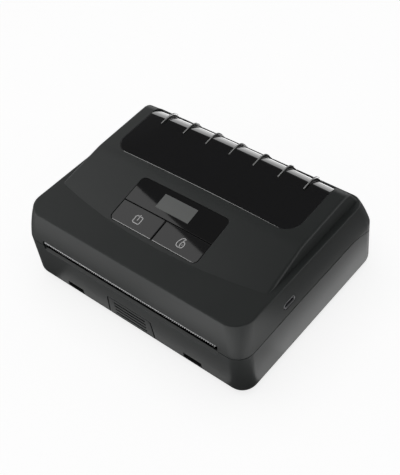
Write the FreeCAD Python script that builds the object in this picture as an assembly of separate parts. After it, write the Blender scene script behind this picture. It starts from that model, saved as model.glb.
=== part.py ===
import FreeCAD, Part
import math
import os

# Portable label printer, in millimetres.
# X runs along the width, Y from the front to the rear, Z up. The origin is under the middle of the casing.
# Everything is built with the underside of the casing at height zero, then lifted onto the rubber feet.

# Casing
width = 160.0
depth = 122.0
front_corner = 9.6
rear_corner = 10.5
wall = 2.4
bottom_round = 6.0
seam_front = 30.5
seam_side = 31.5
seam_ramp = 48.0
seam_arc_radius = 38.0
seam_arc_depth = 26.2
seam_gap = 0.4
shoulder_height = 50.4
side_lean = 2.3
front_lean = 4.2
rear_lean = 8.5
belly_height = 42.0
belly_share = 0.46
rear_belly_share = 0.5
shoulder_round = 0.9

# Hood, window and key panel
hood_front = 22.8
hood_slope = 12.4
hood_bend = 62.0
hood_bend_round = 34.0
hood_top_slope = 2.8
hood_rear_slope = 57.0
hood_rear_round = 7.6
hood_rear = 112.5
hood_crown = 1500.0
hood_side_gap = 3.6
hood_side_lean = 1.9
hood_rise = 10.0
hood_corner = 8.0
hood_edge_round = 1.8
hood_wall = 2.2
hood_ledge = 3.0
hood_screw_front = 0.0
hood_screw_rear = 36.0
window_side = 10.4
window_front = 65.1
window_rear = 111.2
window_corner = 10.0
window_wall = 1.6
window_sink = 1.2
window_round = 10.0
window_gap = 0.15
fin_count = 7
fin_side = 12.61
fin_width = 1.0
fin_start = 93.5
fin_lead = 5.0
fin_proud = 0.3
panel_half = 31.1
panel_front = 2.9
panel_split = 17.1
panel_rear = 34.0
panel_front_round = 3.0
panel_rear_round = 3.0
panel_gap = 0.25
key_gap = 0.7
lens_gap = 0.4
panel_overlap = 3.0
key_cap = 1.2
key_travel = 0.7
key_sink = 0.1
plunger_half = 5.0
switch_drop = 4.4
switch_half = 2.6
switch_height = 1.1
switch_stem = 1.3
key_board_drop = 6.0
key_board_thickness = 1.2
frame_post_x = 32.0
frame_post_half = 1.5
lens_thickness = 1.4
display_half = 11.7
display_front = 20.8
display_rear = 30.5

# Label path
slot_half = 64.0
slot_roof = 34.2
lip_drop = 3.3
lip_run = 1.3
lip_rise = 1.5
platen_y = -48.0
platen_z = 24.5
platen_radius = 6.5
platen_half = 56.0
platen_shaft_radius = 2.5
bush_radius = 4.0
bush_flange = 5.0
running_gap = 0.05
paper_gap = 0.3
clearance = 0.3
blade_thickness = 1.4
blade_tip = 0.2
blade_pitch = 1.4
blade_tooth = 0.9
blade_depth = 8.4

# Drive
cheek_inner = 60.5
cheek_thickness = 1.2
gear_module = 0.6
gear_width = 4.0
gear_offset = 2.3
gear_rim = 1.8
gear_hub = 1.7
gear_dish = 1.0
platen_teeth = 28
idler_teeth = 24
pinion_teeth = 10
idler_angle = -35.0
pinion_angle = -12.0
backlash = 0.16
stud_radius = 1.5
motor_radius = 10.0
motor_length = 18.0
motor_shaft_radius = 1.0
motor_boss_radius = 3.0
motor_screw_radius = 0.8
motor_screw_head = 1.5
motor_screw_inset = 2.2
motor_screw_angles = (100.0, 280.0)
cheek_shelf = 22.0
cheek_edge = 0.8

# Media tray, roll guides and battery
roll_y = 24.5
sensor_x = -19.0
sensor_y = -33.5
sensor_half_x = 5.0
sensor_half_y = 3.0
sensor_flange = 2.0
roll_z = 30.5
trough_radius = 25.5
tray_half = 59.0
tray_wall = 1.6
deck_top = 28.4
deck_front = -40.5
guide_thickness = 3.0
guide_side = 3.0
guide_travel = 31.0
guide_radius = 24.4
hub_radius = 9.5
hub_tip_radius = 6.0
hub_length = 6.0
rack_module = 1.0
rack_pinion_teeth = 12
rack_y = -14.0
rack_thickness = 2.0
rack_depth = 3.0
rack_cover_thickness = 1.2
rack_post_x = 18.0
rack_post_radius = 0.9
battery_length = 70.0
battery_depth = 36.5
battery_height = 18.4
battery_left = -50.0
battery_rear = -4.4
door_ledge = 3.0
door_corner = 2.0
door_screw_radius = 0.9
screw_post_x = 73.4
screw_post_front = -28.0
screw_post_rear = 44.0

# Latch, hinge and feet
latch_y = -54.0
latch_z = 15.5
latch_radius = 1.5
latch_carrier = 1.4
carrier_inner = 22.0
tab_sleeve = 9.0
latch_spring_x = 12.0
hook_inner = 70.0
hook_thickness = 1.6
hook_height = 35.0
hook_nose = 1.6
hook_arm = 1.3
catch_y = -50.5
catch_z = 32.6
catch_radius = 1.5
tab_top_half = 15.7
tab_bottom_half = 17.3
tab_height = 18.3
tab_gap = 0.3
tab_side_gap = 0.8
tab_rib_count = 5
tab_rib_pitch = 2.8
tab_rib_half = 11.7
tab_rib_low = 3.9
tab_groove = 1.2
tab_groove_depth = 1.0
strap_x = 44.3
strap_half = 6.3
strap_low = 4.9
strap_high = 8.8
hinge_inset = 2.6
hinge_z = 22.5
bead_radius = 3.3
groove_radius = 3.7
hinge_pin_radius = 1.0
hinge_reach = 0.66
ear_starts = (38.0, 53.6)
ear_width = 5.0
foot_radius = 5.0
foot_height = 1.0
foot_recess = 0.6
foot_x = 62.0
foot_y = 44.0

# Print head
head_margin = 1.5
head_front = 3.2
head_rear = 9.0
head_thickness = 1.2
heatsink_height = 3.6
heatsink_groove = 1.2
heatsink_pitch = 2.6
bracket_top = 44.6
bracket_thickness = 1.2
bracket_rear = 11.5
bracket_post_x = 52.0
bracket_post_half = 3.0
head_spring_x = 36.0
head_spring_radius = 2.2
head_spring_turns = 5
blade_screw_x = 54.0
blade_screw_y = 2.6
blade_screw_radius = 0.9
blade_screw_head = 1.7

# Boards and small parts
board_z = 40.0
board_thickness = 1.6
board_front = -34.0
board_rear = -5.0
board_left = -56.0
board_right = 75.6
board_post_x = 50.0
board_post_inset = 2.5
chips = ((-38.0, -26.0, 12.0, 12.0, 1.2), (-18.0, -24.0, 9.0, 9.0, 1.2), (14.0, -27.0, 7.0, 5.0, 1.4),
         (32.0, -22.0, 14.0, 11.0, 2.2), (60.0, -14.0, 8.0, 8.0, 4.0), (-44.0, -10.0, 3.0, 3.0, 2.0),
         (-2.0, -12.0, 6.0, 6.0, 3.2))
usb_y = -20.0
usb_width = 9.0
usb_height = 3.2
usb_length = 7.4
usb_wall = 0.35
usb_opening_gap = 0.6
usb_tongue_half = 3.2
usb_tongue = 0.7
tray_floor_z = 34.2
tray_floor_wall = 1.4
back_lean = 4.2
post_radius = 2.6
screw_radius = 1.2
screw_head_radius = 2.3
screw_head_height = 1.4
spring_wire = 0.5

# Places worked out from the sizes above
half_width = width / 2
front_y = -depth / 2
rear_y = depth / 2
inner_front = front_y + wall
inner_rear = rear_y - wall
hinge_y = rear_y - hinge_inset
slope = math.radians(hood_slope)
hood_half = half_width - side_lean - hood_side_gap
window_half = hood_half - window_side
fin_pitch = 2 * (window_half - fin_side) / (fin_count - 1)
guide_rest = tray_half - guide_side
hood_front_y = front_y + hood_front
crown_z = shoulder_height + hood_rise - hood_crown
beyond = width


def point(x, y, z):
    return FreeCAD.Vector(x, y, z)


def box(x0, x1, y0, y1, z0, z1):
    return Part.makeBox(x1 - x0, y1 - y0, z1 - z0, point(x0, y0, z0))


def rod_x(y, z, radius, x0, x1):
    return Part.makeCylinder(radius, x1 - x0, point(x0, y, z), point(1, 0, 0))


def rod_z(x, y, radius, z0, z1):
    return Part.makeCylinder(radius, z1 - z0, point(x, y, z0), point(0, 0, 1))


def cone_x(y, z, radius0, radius1, x0, x1):
    return Part.makeCone(radius0, radius1, x1 - x0, point(x0, y, z), point(1, 0, 0))


def mirrored(shape):
    return shape.mirror(point(0, 0, 0), point(1, 0, 0))


def fused(shapes):
    whole = shapes[0].fuse(shapes[1:]) if len(shapes) > 1 else shapes[0]
    return whole.removeSplitter()


def corners_wire(points, radii, place):
    """Closed wire through 2D points, each corner rounded by its radius."""
    edges = []
    starts = []
    ends = []
    count = len(points)
    for i in range(count):
        px, py = points[i]
        ax, ay = points[i - 1]
        bx, by = points[(i + 1) % count]
        in_length = math.hypot(ax - px, ay - py)
        out_length = math.hypot(bx - px, by - py)
        ux, uy = (ax - px) / in_length, (ay - py) / in_length
        vx, vy = (bx - px) / out_length, (by - py) / out_length
        half = math.acos(max(-1.0, min(1.0, ux * vx + uy * vy))) / 2
        cut = radii[i] / math.tan(half)
        starts.append((px + ux * cut, py + uy * cut))
        ends.append((px + vx * cut, py + vy * cut))
        if radii[i] > 0:
            reach = radii[i] / math.sin(half) - radii[i]
            mx, my = ux + vx, uy + vy
            length = math.hypot(mx, my)
            middle = (px + mx / length * reach, py + my / length * reach)
            edges.append(Part.Arc(place(*starts[i]), place(*middle), place(*ends[i])).toShape())
    for i in range(count):
        follow = starts[(i + 1) % count]
        if math.hypot(follow[0] - ends[i][0], follow[1] - ends[i][1]) > 1e-6:
            edges.append(Part.LineSegment(place(*ends[i]), place(*follow)).toShape())
    return Part.Wire(Part.__sortEdges__(edges))


def plan_prism(points, radii, z0, z1):
    face = Part.Face(corners_wire(points, radii, lambda x, y: point(x, y, z0)))
    return face.extrude(point(0, 0, z1 - z0))


def side_prism(points, radii, x0, x1):
    face = Part.Face(corners_wire(points, radii, lambda y, z: point(x0, y, z)))
    return face.extrude(point(x1 - x0, 0, 0))


def moved_in(points, insets):
    """Polygon, anticlockwise, with each edge moved towards the inside."""
    lines = []
    count = len(points)
    for i in range(count):
        ax, ay = points[i]
        bx, by = points[(i + 1) % count]
        length = math.hypot(bx - ax, by - ay)
        ux, uy = (bx - ax) / length, (by - ay) / length
        lines.append((ax - uy * insets[i], ay + ux * insets[i], ux, uy))
    result = []
    for i in range(count):
        ax, ay, ux, uy = lines[i - 1]
        bx, by, vx, vy = lines[i]
        along = ((bx - ax) * vy - (by - ay) * vx) / (ux * vy - uy * vx)
        result.append((ax + ux * along, ay + uy * along))
    return result


def rectangle(x0, x1, y0, y1):
    return [(x0, y0), (x1, y0), (x1, y1), (x0, y1)]


# Casing outlines
def casing_corners(inset, side, front, rear):
    half = half_width - inset - side
    points = rectangle(-half, half, front_y + inset + front, rear_y - inset - rear)
    front_radius = max(front_corner - inset + side, 1.0)
    rear_radius = max(rear_corner - inset - side, 1.0)
    return points, [front_radius, front_radius, rear_radius, rear_radius]


def casing_wire(inset, side, front, rear, z):
    points, radii = casing_corners(inset, side, front, rear)
    return corners_wire(points, radii, lambda x, y: point(x, y, z))


def lower_block(inset):
    points, radii = casing_corners(inset, 0, 0, 0)
    block = plan_prism(points, radii, inset, seam_side + bead_radius)
    low = [e for e in block.Edges if e.BoundBox.ZMax < inset + 0.01]
    return block.makeFillet(bottom_round - inset, low)


def upper_block(inset):
    top = shoulder_height - inset
    sections = [
        casing_wire(inset, 0, 0, 0, seam_side),
        casing_wire(inset, side_lean * belly_share, front_lean * belly_share,
                    rear_lean * rear_belly_share, belly_height),
        casing_wire(inset, side_lean, front_lean, rear_lean, top),
    ]
    leaning = Part.makeLoft(sections, True, False)
    points, radii = casing_corners(inset, 0, 0, 0)
    upright = plan_prism(points, radii, 0, seam_side)
    return upright.fuse(leaning)


def below_seam(lift):
    """Everything under the parting surface, raised by lift."""
    ramp_end = front_y + seam_ramp
    arc_y = rear_y - seam_arc_depth
    arc_z = seam_side - seam_arc_radius

    def on_arc(angle):
        return point(0, arc_y + seam_arc_radius * math.sin(angle), arc_z + seam_arc_radius * math.cos(angle))

    end_angle = math.asin((seam_arc_depth + wall / 2) / seam_arc_radius)
    end = on_arc(end_angle)
    base = -wall
    corners = [
        point(0, end.y, end.z),
        point(0, rear_y + beyond, end.z),
        point(0, rear_y + beyond, base),
        point(0, front_y - beyond, base),
        point(0, front_y - beyond, seam_front),
        point(0, front_y, seam_front),
        point(0, ramp_end, seam_side),
        on_arc(0),
    ]
    edges = [Part.LineSegment(a, b).toShape() for a, b in zip(corners, corners[1:])]
    edges.append(Part.Arc(on_arc(0), on_arc(end_angle / 2), end).toShape())
    face = Part.Face(Part.Wire(edges))
    face.translate(point(-beyond, 0, lift))
    return face.extrude(point(2 * beyond, 0, 0))


# Hood outlines, in the plane at the middle of the width
def hood_lines():
    climb = math.tan(slope)
    bend_y = front_y + hood_bend
    bend_z = shoulder_height + (bend_y - hood_front_y) * climb
    top_climb = math.tan(math.radians(hood_top_slope))
    rear_climb = math.tan(math.radians(hood_rear_slope))
    foot_y_rear = front_y + hood_rear
    drop = shoulder_height - bend_z
    peak_y = (drop + foot_y_rear * rear_climb + bend_y * top_climb) / (rear_climb + top_climb)
    peak_z = bend_z + (peak_y - bend_y) * top_climb
    low = seam_side
    start_y = hood_front_y - (shoulder_height - low) / climb
    end_y = foot_y_rear + (shoulder_height - low) / rear_climb
    return [(start_y, low), (end_y, low), (peak_y, peak_z), (bend_y, bend_z)]


def crowned(points, radii):
    """Sweep a side outline across the width along the gentle crown."""
    reach = math.degrees(math.asin(half_width / (hood_crown - beyond / 2)))
    face = Part.Face(corners_wire(points, radii, lambda y, z: point(0, y, z)))
    centre = point(0, 0, crown_z)
    face.rotate(centre, point(0, 1, 0), -reach)
    return face.revolve(centre, point(0, 1, 0), 2 * reach)


def hood_block(inset):
    insets = [0, inset, inset, inset]
    rear_radius = max(hood_rear_round - inset, 0.5)
    return crowned(moved_in(hood_lines(), insets), [0, 0, rear_radius, hood_bend_round])


def window_block(inset):
    insets = [0, window_sink + inset, inset, inset]
    return crowned(moved_in(hood_lines(), insets), [0, 0, window_round - inset, hood_bend_round])


def hood_sides(inset, low):
    half = hood_half - inset
    top = shoulder_height + hood_rise + fin_proud + 1.0
    front = front_y + front_lean
    rear = front_y + hood_rear + hood_corner
    drop = (shoulder_height - low) * hood_side_lean / hood_rise
    climb = (top - shoulder_height) * hood_side_lean / hood_rise
    wires = []
    for z, change in ((low, drop), (top, -climb)):
        points = rectangle(-half - change, half + change, front, rear)
        radii = [hood_corner, hood_corner, 1.0, 1.0]
        wires.append(corners_wire(points, radii, lambda x, y, z=z: point(x, y, z)))
    return Part.makeLoft(wires, True, True)


def window_plan(grow):
    points = rectangle(-window_half - grow, window_half + grow, front_y + window_front - grow,
                       front_y + window_rear + grow)
    front_radius = window_corner + grow
    rear_radius = panel_rear_round + grow
    prism = plan_prism(points, [front_radius, front_radius, rear_radius, rear_radius],
                       seam_side, shoulder_height + hood_rise * 2)
    return prism


# Pieces on the sloping front of the hood are drawn flat, then tilted
def on_slope(shape):
    tilted = shape.copy()
    tilted.rotate(point(0, 0, 0), point(1, 0, 0), hood_slope)
    tilted.translate(point(0, hood_front_y, shoulder_height))
    return tilted


def slope_prism(x0, x1, s0, s1, radii, high, low):
    return on_slope(plan_prism(rectangle(x0, x1, s0, s1), radii, low, high))


def slope_box(x0, x1, s0, s1, high, low):
    return on_slope(box(x0, x1, s0, s1, low, high))


def hood_skin(outer, inner):
    return hood_block(outer).cut(hood_block(inner))


# Gears
def gear_wire(teeth, module, phase, place):
    pitch = teeth * module / 2
    tip = pitch + module * 0.9
    root = pitch - module * 1.2
    pressure = math.radians(20)
    base = pitch * math.cos(pressure)
    half = math.pi / (2 * teeth) - backlash / (2 * pitch)
    involute = math.tan(pressure) - pressure
    start = max(base, root) + 0.01
    flank = []
    for step in range(4):
        radius = start + (tip - start) * step / 3
        angle = math.acos(base / radius)
        flank.append((radius, half + involute - (math.tan(angle) - angle)))
    side = [(root, flank[0][1])] + flank
    corners = []
    for tooth in range(teeth):
        middle = phase + tooth * 2 * math.pi / teeth
        for radius, offset in side:
            corners.append((radius, middle - offset))
        for radius, offset in reversed(side):
            corners.append((radius, middle + offset))
    ring = [place(radius * math.cos(angle), radius * math.sin(angle)) for radius, angle in corners]
    return Part.makePolygon(ring + ring[:1])


def gear_x(teeth, centre, phase, x0, x1, bore):
    wire = gear_wire(teeth, gear_module, phase, lambda y, z: point(x0, centre[0] + y, centre[1] + z))
    wheel = Part.Face(wire).extrude(point(x1 - x0, 0, 0))
    return wheel.cut(rod_x(centre[0], centre[1], bore, x0, x1))


def gear_recess(centre, teeth, bore):
    low = gear_end - gear_dish
    ring = rod_x(centre[0], centre[1], teeth * gear_module / 2 - gear_rim, low, gear_end)
    return ring.cut(rod_x(centre[0], centre[1], bore + gear_hub, low, gear_end))


def from_angle(centre, distance, degrees):
    angle = math.radians(degrees)
    return centre[0] + distance * math.cos(angle), centre[1] + distance * math.sin(angle)


platen_centre = (platen_y, platen_z)
idler_centre = from_angle(platen_centre, (platen_teeth + idler_teeth) * gear_module / 2, idler_angle)
pinion_centre = from_angle(idler_centre, (idler_teeth + pinion_teeth) * gear_module / 2, pinion_angle)
idler_phase = math.radians(idler_angle) + math.pi + math.pi / idler_teeth
mesh_offset = math.radians(pinion_angle) - idler_phase
tooth_step = 2 * math.pi / idler_teeth
lead = -(mesh_offset - tooth_step * round(mesh_offset / tooth_step))
pinion_phase = math.radians(pinion_angle) + math.pi + (math.pi - lead * idler_teeth) / pinion_teeth
gear_start = cheek_inner + cheek_thickness + gear_offset
gear_end = gear_start + gear_width


# Small parts
def coil(radius, pitch, turns, wire):
    helix = Part.makeHelix(pitch, pitch * turns, radius)
    circle = Part.Circle(point(radius, 0, 0), point(0, 1, 0), wire).toShape()
    sweep = Part.BRepOffsetAPI.MakePipeShell(Part.Wire(helix.Edges))
    sweep.setFrenetMode(True)
    sweep.add(Part.Wire(circle), False, False)
    sweep.build()
    sweep.makeSolid()
    return sweep.shape()


def screw(x, y, z, length, up):
    """Pan head screw with its head's seat at z; its shank runs up or down."""
    sign = 1 if up else -1
    shank = Part.makeCylinder(screw_radius, length, point(x, y, z), point(0, 0, sign))
    head = Part.makeCylinder(screw_head_radius, screw_head_height, point(x, y, z), point(0, 0, -sign))
    top = z - sign * screw_head_height
    depth_of_cross = screw_head_height / 2
    low, high = sorted((top, top + sign * depth_of_cross))
    arm = screw_head_radius * 0.65
    slot = screw_head_radius * 0.16
    cross = [box(x - arm, x + arm, y - slot, y + slot, low, high),
             box(x - slot, x + slot, y - arm, y + arm, low, high)]
    return head.fuse(shank).cut(cross)


def foot_places():
    return [(-foot_x, -foot_y), (foot_x, -foot_y), (-foot_x, foot_y), (foot_x, foot_y)]


def post_places():
    return [(side * screw_post_x, y) for side in (-1, 1) for y in (screw_post_front, screw_post_rear)]


# Base
def tab_plan(grow, top):
    points = [(-tab_bottom_half - grow, -wall), (tab_bottom_half + grow, -wall),
              (tab_top_half + grow, top), (-tab_top_half - grow, top)]
    wire = corners_wire(points, [0, 0, 1.5, 1.5], lambda x, z: point(x, front_y - wall, z))
    return Part.Face(wire)


def lower_casing():
    shell = lower_block(0).cut(lower_block(wall)).common(below_seam(0))
    hinge_half = half_width - rear_corner * (1 - hinge_reach)
    additions = []
    for start in ear_starts:
        ear = rod_x(hinge_y, hinge_z, bead_radius, start, start + ear_width)
        low = hinge_z - groove_radius * 2
        web = box(start, start + ear_width, hinge_y - bead_radius, rear_y, low, hinge_z)
        ear = ear.fuse(web).common(lower_block(0))
        additions += [ear, mirrored(ear)]
    groove = rod_x(hinge_y, hinge_z, groove_radius, -hinge_half, hinge_half)
    shell = shell.cut(groove)
    # carriers for the latch shaft
    for x in (carrier_inner, hook_inner - latch_carrier - clearance):
        low = latch_z - latch_radius * 2
        block = box(x, x + latch_carrier, inner_front - 0.2, latch_y + 2.8, low, latch_z + 2.8)
        additions += [block, mirrored(block)]
    # posts that carry the ears of the media tray
    for x, y in post_places():
        additions.append(rod_z(x, y, post_radius, wall / 2, deck_top - tray_wall))
    shell = fused([shell] + additions)
    cuts = [rod_x(latch_y, latch_z, latch_radius + running_gap, -half_width + wall, half_width - wall)]
    for start in ear_starts:
        bore = rod_x(hinge_y, hinge_z, hinge_pin_radius, start, start + ear_width)
        cuts += [bore, mirrored(bore)]
    # opening for the release tab, running down through the bottom edge
    face = tab_plan(tab_side_gap, tab_height + tab_gap)
    cuts.append(face.extrude(point(0, wall * 2 + bottom_round, 0)))
    # ridged lip under the label slot, sloping to both sides
    low = seam_front - lip_drop
    climb = lip_rise / lip_run
    high = seam_side + 1.0
    back = front_y + wall + lip_run
    lip = [(front_y - 1.0, high), (front_y - 1.0, low - climb), (front_y + lip_run, low + lip_rise),
           (back, low - climb), (back, high)]
    cuts.append(side_prism(lip, [0] * len(lip), -slot_half, slot_half))
    # strap slots: one in the front, one in the underside, so that a strap passes round the edge
    for x in (-strap_x, strap_x):
        x0, x1 = x - strap_half, x + strap_half
        cuts.append(box(x0, x1, front_y - 1, inner_front + 1.5, strap_low, strap_high))
        cuts.append(box(x0, x1, inner_front + 3.4, inner_front + 6.2, -1, wall + 1))
    # feet, battery door and screws
    for x, y in foot_places():
        cuts.append(rod_z(x, y, foot_radius, -1, foot_recess))
    cuts.append(door_block(clearance, -1, wall / 2))
    cuts.append(door_block(clearance - door_ledge, -1, wall + 1))
    for x, y in post_places():
        cuts.append(rod_z(x, y, screw_head_radius + clearance, -1, screw_head_height + 0.2))
        cuts.append(rod_z(x, y, screw_radius, -1, seam_front))
    for x, y in door_screw_places():
        cuts.append(rod_z(x, y, door_screw_radius, -1, wall + 1))
    return shell.cut(cuts)


def door_block(grow, z0, z1):
    left = battery_left - door_ledge - grow
    right = battery_left + battery_length + door_ledge + grow
    front = battery_rear - battery_depth - door_ledge - grow
    rear = battery_rear + door_ledge + grow
    return plan_prism(rectangle(left, right, front, rear), [max(door_corner + grow, 0.2)] * 4, z0, z1)


def door_screw_places():
    middle = battery_rear - battery_depth / 2
    edge = door_ledge / 2
    return [(battery_left - edge, middle), (battery_left + battery_length + edge, middle)]


def casing_screws():
    seat = screw_head_height + 0.2
    length = deck_top - seat - 0.4
    return Part.makeCompound([screw(x, y, seat, length, True) for x, y in post_places()])


def battery_door():
    door = door_block(0, 0, wall / 2)
    for x, y in door_screw_places():
        door = door.cut(rod_z(x, y, door_screw_radius, -1, wall))
        door = door.cut(rod_z(x, y, door_screw_radius * 2, -1, wall / 4))
    return door


def battery_door_screws():
    seat = wall / 4
    return Part.makeCompound([rod_z(x, y, door_screw_radius, seat, wall).fuse(
        rod_z(x, y, door_screw_radius * 2 - clearance, 0, seat)) for x, y in door_screw_places()])


def rubber_feet():
    pads = []
    for x, y in foot_places():
        pad = rod_z(x, y, foot_radius, -foot_height, foot_recess)
        rim = [e for e in pad.Edges if e.BoundBox.ZMax < -foot_height + 0.01]
        pads.append(pad.makeFillet(foot_height * 0.4, rim))
    return Part.makeCompound(pads)


def battery_pack():
    front = battery_rear - battery_depth
    low = wall / 2
    points = rectangle(front, battery_rear, low, low + battery_height)
    return side_prism(points, [2.0, 2.0, 8.0, 8.0], battery_left, battery_left + battery_length)


def battery_contacts():
    start = battery_left + battery_length + 0.05
    middle = battery_rear - battery_depth / 2
    block = box(start + 2.0, start + 6.0, middle - 9, middle + 9, wall, wall + 9)
    blades = [box(start, start + 2.4, middle + s * 5 - 0.6, middle + s * 5 + 0.6, wall + 4, wall + 8)
              for s in (-1, 0, 1)]
    return fused([block] + blades)


def media_tray():
    outer = rod_x(roll_y, roll_z, trough_radius + tray_wall, -tray_half, tray_half)
    half = box(-tray_half, tray_half, roll_y - beyond, roll_y + beyond, 0, deck_top)
    body = outer.common(half)
    rear_skirt = roll_y + trough_radius
    deck_rear = roll_y - trough_radius
    body = body.fuse(box(-tray_half, tray_half, deck_front, deck_rear, deck_top - tray_wall, deck_top))
    legs = []
    for x in (-tray_half, tray_half - tray_wall):
        leg = box(x, x + tray_wall, battery_rear + 1.0, rear_skirt - 4.0, wall, deck_top)
        legs.append(leg)
    for x, y in post_places():
        x0, x1 = sorted((math.copysign(tray_half - tray_wall, x), x + math.copysign(post_radius, x)))
        legs.append(box(x0, x1, y - 4.0, y + 4.0, deck_top - tray_wall, deck_top))
    body = fused([body] + legs)
    body = body.cut(rod_x(roll_y, roll_z, trough_radius, -tray_half + tray_wall, tray_half - tray_wall))
    # slots for the feet of the two guides
    cuts = []
    for side, y in ((1, rack_line(1)), (-1, rack_line(-1))):
        far = guide_rest + clearance
        near = guide_rest - guide_thickness - guide_travel - clearance
        x0, x1 = sorted((side * near, side * far))
        cuts.append(box(x0, x1, y - 1.8, y + 1.8, deck_top - tray_wall - 1, deck_top + 1))
    cuts.append(sensor_block(clearance))
    for x, y in post_places():
        cuts.append(rod_z(x, y, screw_radius, deck_top - tray_wall - 1, deck_top + 1))
    body = body.cut(cuts)
    stud = rod_z(0, rack_y, stud_radius, rack_low(), deck_top - tray_wall / 2)
    return body.fuse(stud)


def rack_line(side):
    pitch = rack_module * rack_pinion_teeth / 2
    return rack_y + side * (pitch + rack_depth * 0.5 + rack_module)


def rack_low():
    return deck_top - tray_wall - clearance - rack_thickness


def sensor_block(grow):
    x = sensor_half_x + grow
    y = sensor_half_y + grow
    low = deck_top - tray_wall - 2
    return box(sensor_x - x, sensor_x + x, sensor_y - y, sensor_y + y, low, deck_top - 0.1)


def label_sensor():
    x = sensor_half_x + sensor_flange
    y = sensor_half_y + sensor_flange
    low = deck_top - tray_wall - 2
    flange = box(sensor_x - x, sensor_x + x, sensor_y - y, sensor_y + y, low, deck_top - tray_wall)
    return sensor_block(0).fuse(flange)


def rack_cover():
    low = rack_low() - clearance - rack_cover_thickness
    reach = rack_module * rack_pinion_teeth / 2 + rack_depth + rack_post_radius * 3
    left = -tray_half + tray_wall * 2
    right = cheek_inner - motor_length - tray_wall
    plate = box(left, right, rack_y - reach, rack_y + reach, low, low + rack_cover_thickness)
    offset = reach - rack_post_radius
    posts = [rod_z(x, y, rack_post_radius, low, deck_top - tray_wall)
             for x in (-rack_post_x, rack_post_x) for y in (rack_y - offset, rack_y + offset)]
    return fused([plate] + posts)


def rack(side):
    """Toothed bar that reaches from its guide past the pinion."""
    pitch_radius = rack_module * rack_pinion_teeth / 2
    step = math.pi * rack_module
    lean = math.tan(math.radians(20))
    line_y = pitch_radius
    tip_y = line_y - rack_module * 0.9
    root_y = line_y + rack_module * 1.2
    back_y = root_y + rack_depth * 0.6
    half = step / 4 - backlash
    teeth = int((guide_travel + pitch_radius) / step) + 1
    start = -step * 0.5
    points = [(guide_rest, back_y), (start - step * 0.5, back_y), (start - step * 0.5, root_y)]
    for i in range(teeth):
        middle = start + step * i
        low = half - (line_y - tip_y) * lean
        high = half + (root_y - line_y) * lean
        points += [(middle - high, root_y), (middle - low, tip_y)]
        points += [(middle + low, tip_y), (middle + high, root_y)]
    points.append((guide_rest, root_y))
    z0 = rack_low()
    ring = [point(x, rack_y + y, z0) for x, y in points]
    bar = Part.Face(Part.makePolygon(ring + ring[:1])).extrude(point(0, 0, rack_thickness))
    if side < 0:
        bar.rotate(point(0, rack_y, 0), point(0, 0, 1), 180)
    return bar


def roll_guide(side):
    near = guide_rest - guide_thickness
    disc = rod_x(roll_y, roll_z, guide_radius, near, guide_rest)
    front = roll_y - guide_radius
    arm = box(near, guide_rest, rack_line(side) - 1.5, front + 8.0, deck_top + clearance, deck_top + 4.0)
    post = box(near, guide_rest, rack_line(side) - 1.5, rack_line(side) + 1.5, rack_low(), deck_top + 1.0)
    hub = cone_x(roll_y, roll_z, hub_tip_radius, hub_radius, near - hub_length, near)
    body = [disc, arm, post, hub]
    if side < 0:
        body = [mirrored(piece) for piece in body]
    guide = fused(body + [rack(side)])
    bore = rod_x(roll_y, roll_z, hub_tip_radius - 2.0, near - hub_length - 1, guide_rest + 1)
    window = rod_x(roll_y, roll_z + guide_radius * 0.66, 3.4, near - 1, guide_rest + 1)
    cuts = [bore, window]
    if side < 0:
        cuts = [mirrored(piece) for piece in cuts]
    return guide.cut(cuts)


def guide_pinion():
    z0 = rack_low()
    wire = gear_wire(rack_pinion_teeth, rack_module, math.pi / 2, lambda x, y: point(x, rack_y + y, z0))
    wheel = Part.Face(wire).extrude(point(0, 0, rack_thickness))
    return wheel.cut(rod_z(0, rack_y, stud_radius + running_gap, z0, z0 + rack_thickness))


# Drive
def cheek():
    low_front = latch_y + latch_radius + 2.0
    rear = pinion_centre[0] + motor_radius + 4
    near = platen_y - bush_flange - 0.6
    points = [(low_front, wall), (rear, wall), (rear, cheek_shelf), (platen_y + 8.0, cheek_shelf),
              (platen_y + bush_flange + cheek_edge, platen_z + bush_flange), (near, platen_z + bush_flange),
              (near, platen_z - 4.0), (low_front, platen_z - 6.0)]
    plate = side_prism(points, [0] * len(points), cheek_inner, cheek_inner + cheek_thickness)
    return plate.cut(rod_x(platen_y, platen_z, bush_radius, cheek_inner - 1, cheek_inner + 3))


def right_cheek():
    plate = cheek()
    outer = cheek_inner + cheek_thickness + 1
    pinion_hole = pinion_teeth * gear_module / 2 + 1.2
    cuts = [rod_x(pinion_centre[0], pinion_centre[1], pinion_hole, cheek_inner - 1, outer),
            rod_x(idler_centre[0], idler_centre[1], stud_radius, cheek_inner - 1, outer)]
    for angle in motor_screw_angles:
        y, z = from_angle(pinion_centre, motor_radius - motor_screw_inset, angle)
        cuts.append(rod_x(y, z, motor_screw_radius, cheek_inner - 1, outer))
    return plate.cut(cuts)


def motor_cylinder(grow):
    return rod_x(pinion_centre[0], pinion_centre[1], motor_radius + grow, cheek_inner - motor_length - grow,
                 cheek_inner)


def stepper_motor():
    body = motor_cylinder(0)
    body = body.fuse(rod_x(pinion_centre[0], pinion_centre[1], motor_boss_radius,
                           cheek_inner - motor_length - tray_wall, cheek_inner - motor_length + 1))
    body = body.cut(rod_x(pinion_centre[0], pinion_centre[1], motor_shaft_radius + running_gap,
                          cheek_inner - motor_length + 2, cheek_inner + 1))
    for angle in motor_screw_angles:
        y, z = from_angle(pinion_centre, motor_radius - motor_screw_inset, angle)
        body = body.cut(rod_x(y, z, motor_screw_radius, cheek_inner - 3, cheek_inner + 1))
    return body


def motor_screws():
    screws = []
    for angle in motor_screw_angles:
        y, z = from_angle(pinion_centre, motor_radius - motor_screw_inset, angle)
        seat = cheek_inner + cheek_thickness
        shank = rod_x(y, z, motor_screw_radius, cheek_inner - 3, seat)
        screws.append(shank.fuse(rod_x(y, z, motor_screw_head, seat, seat + 1.0)))
    return Part.makeCompound(screws)


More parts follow.
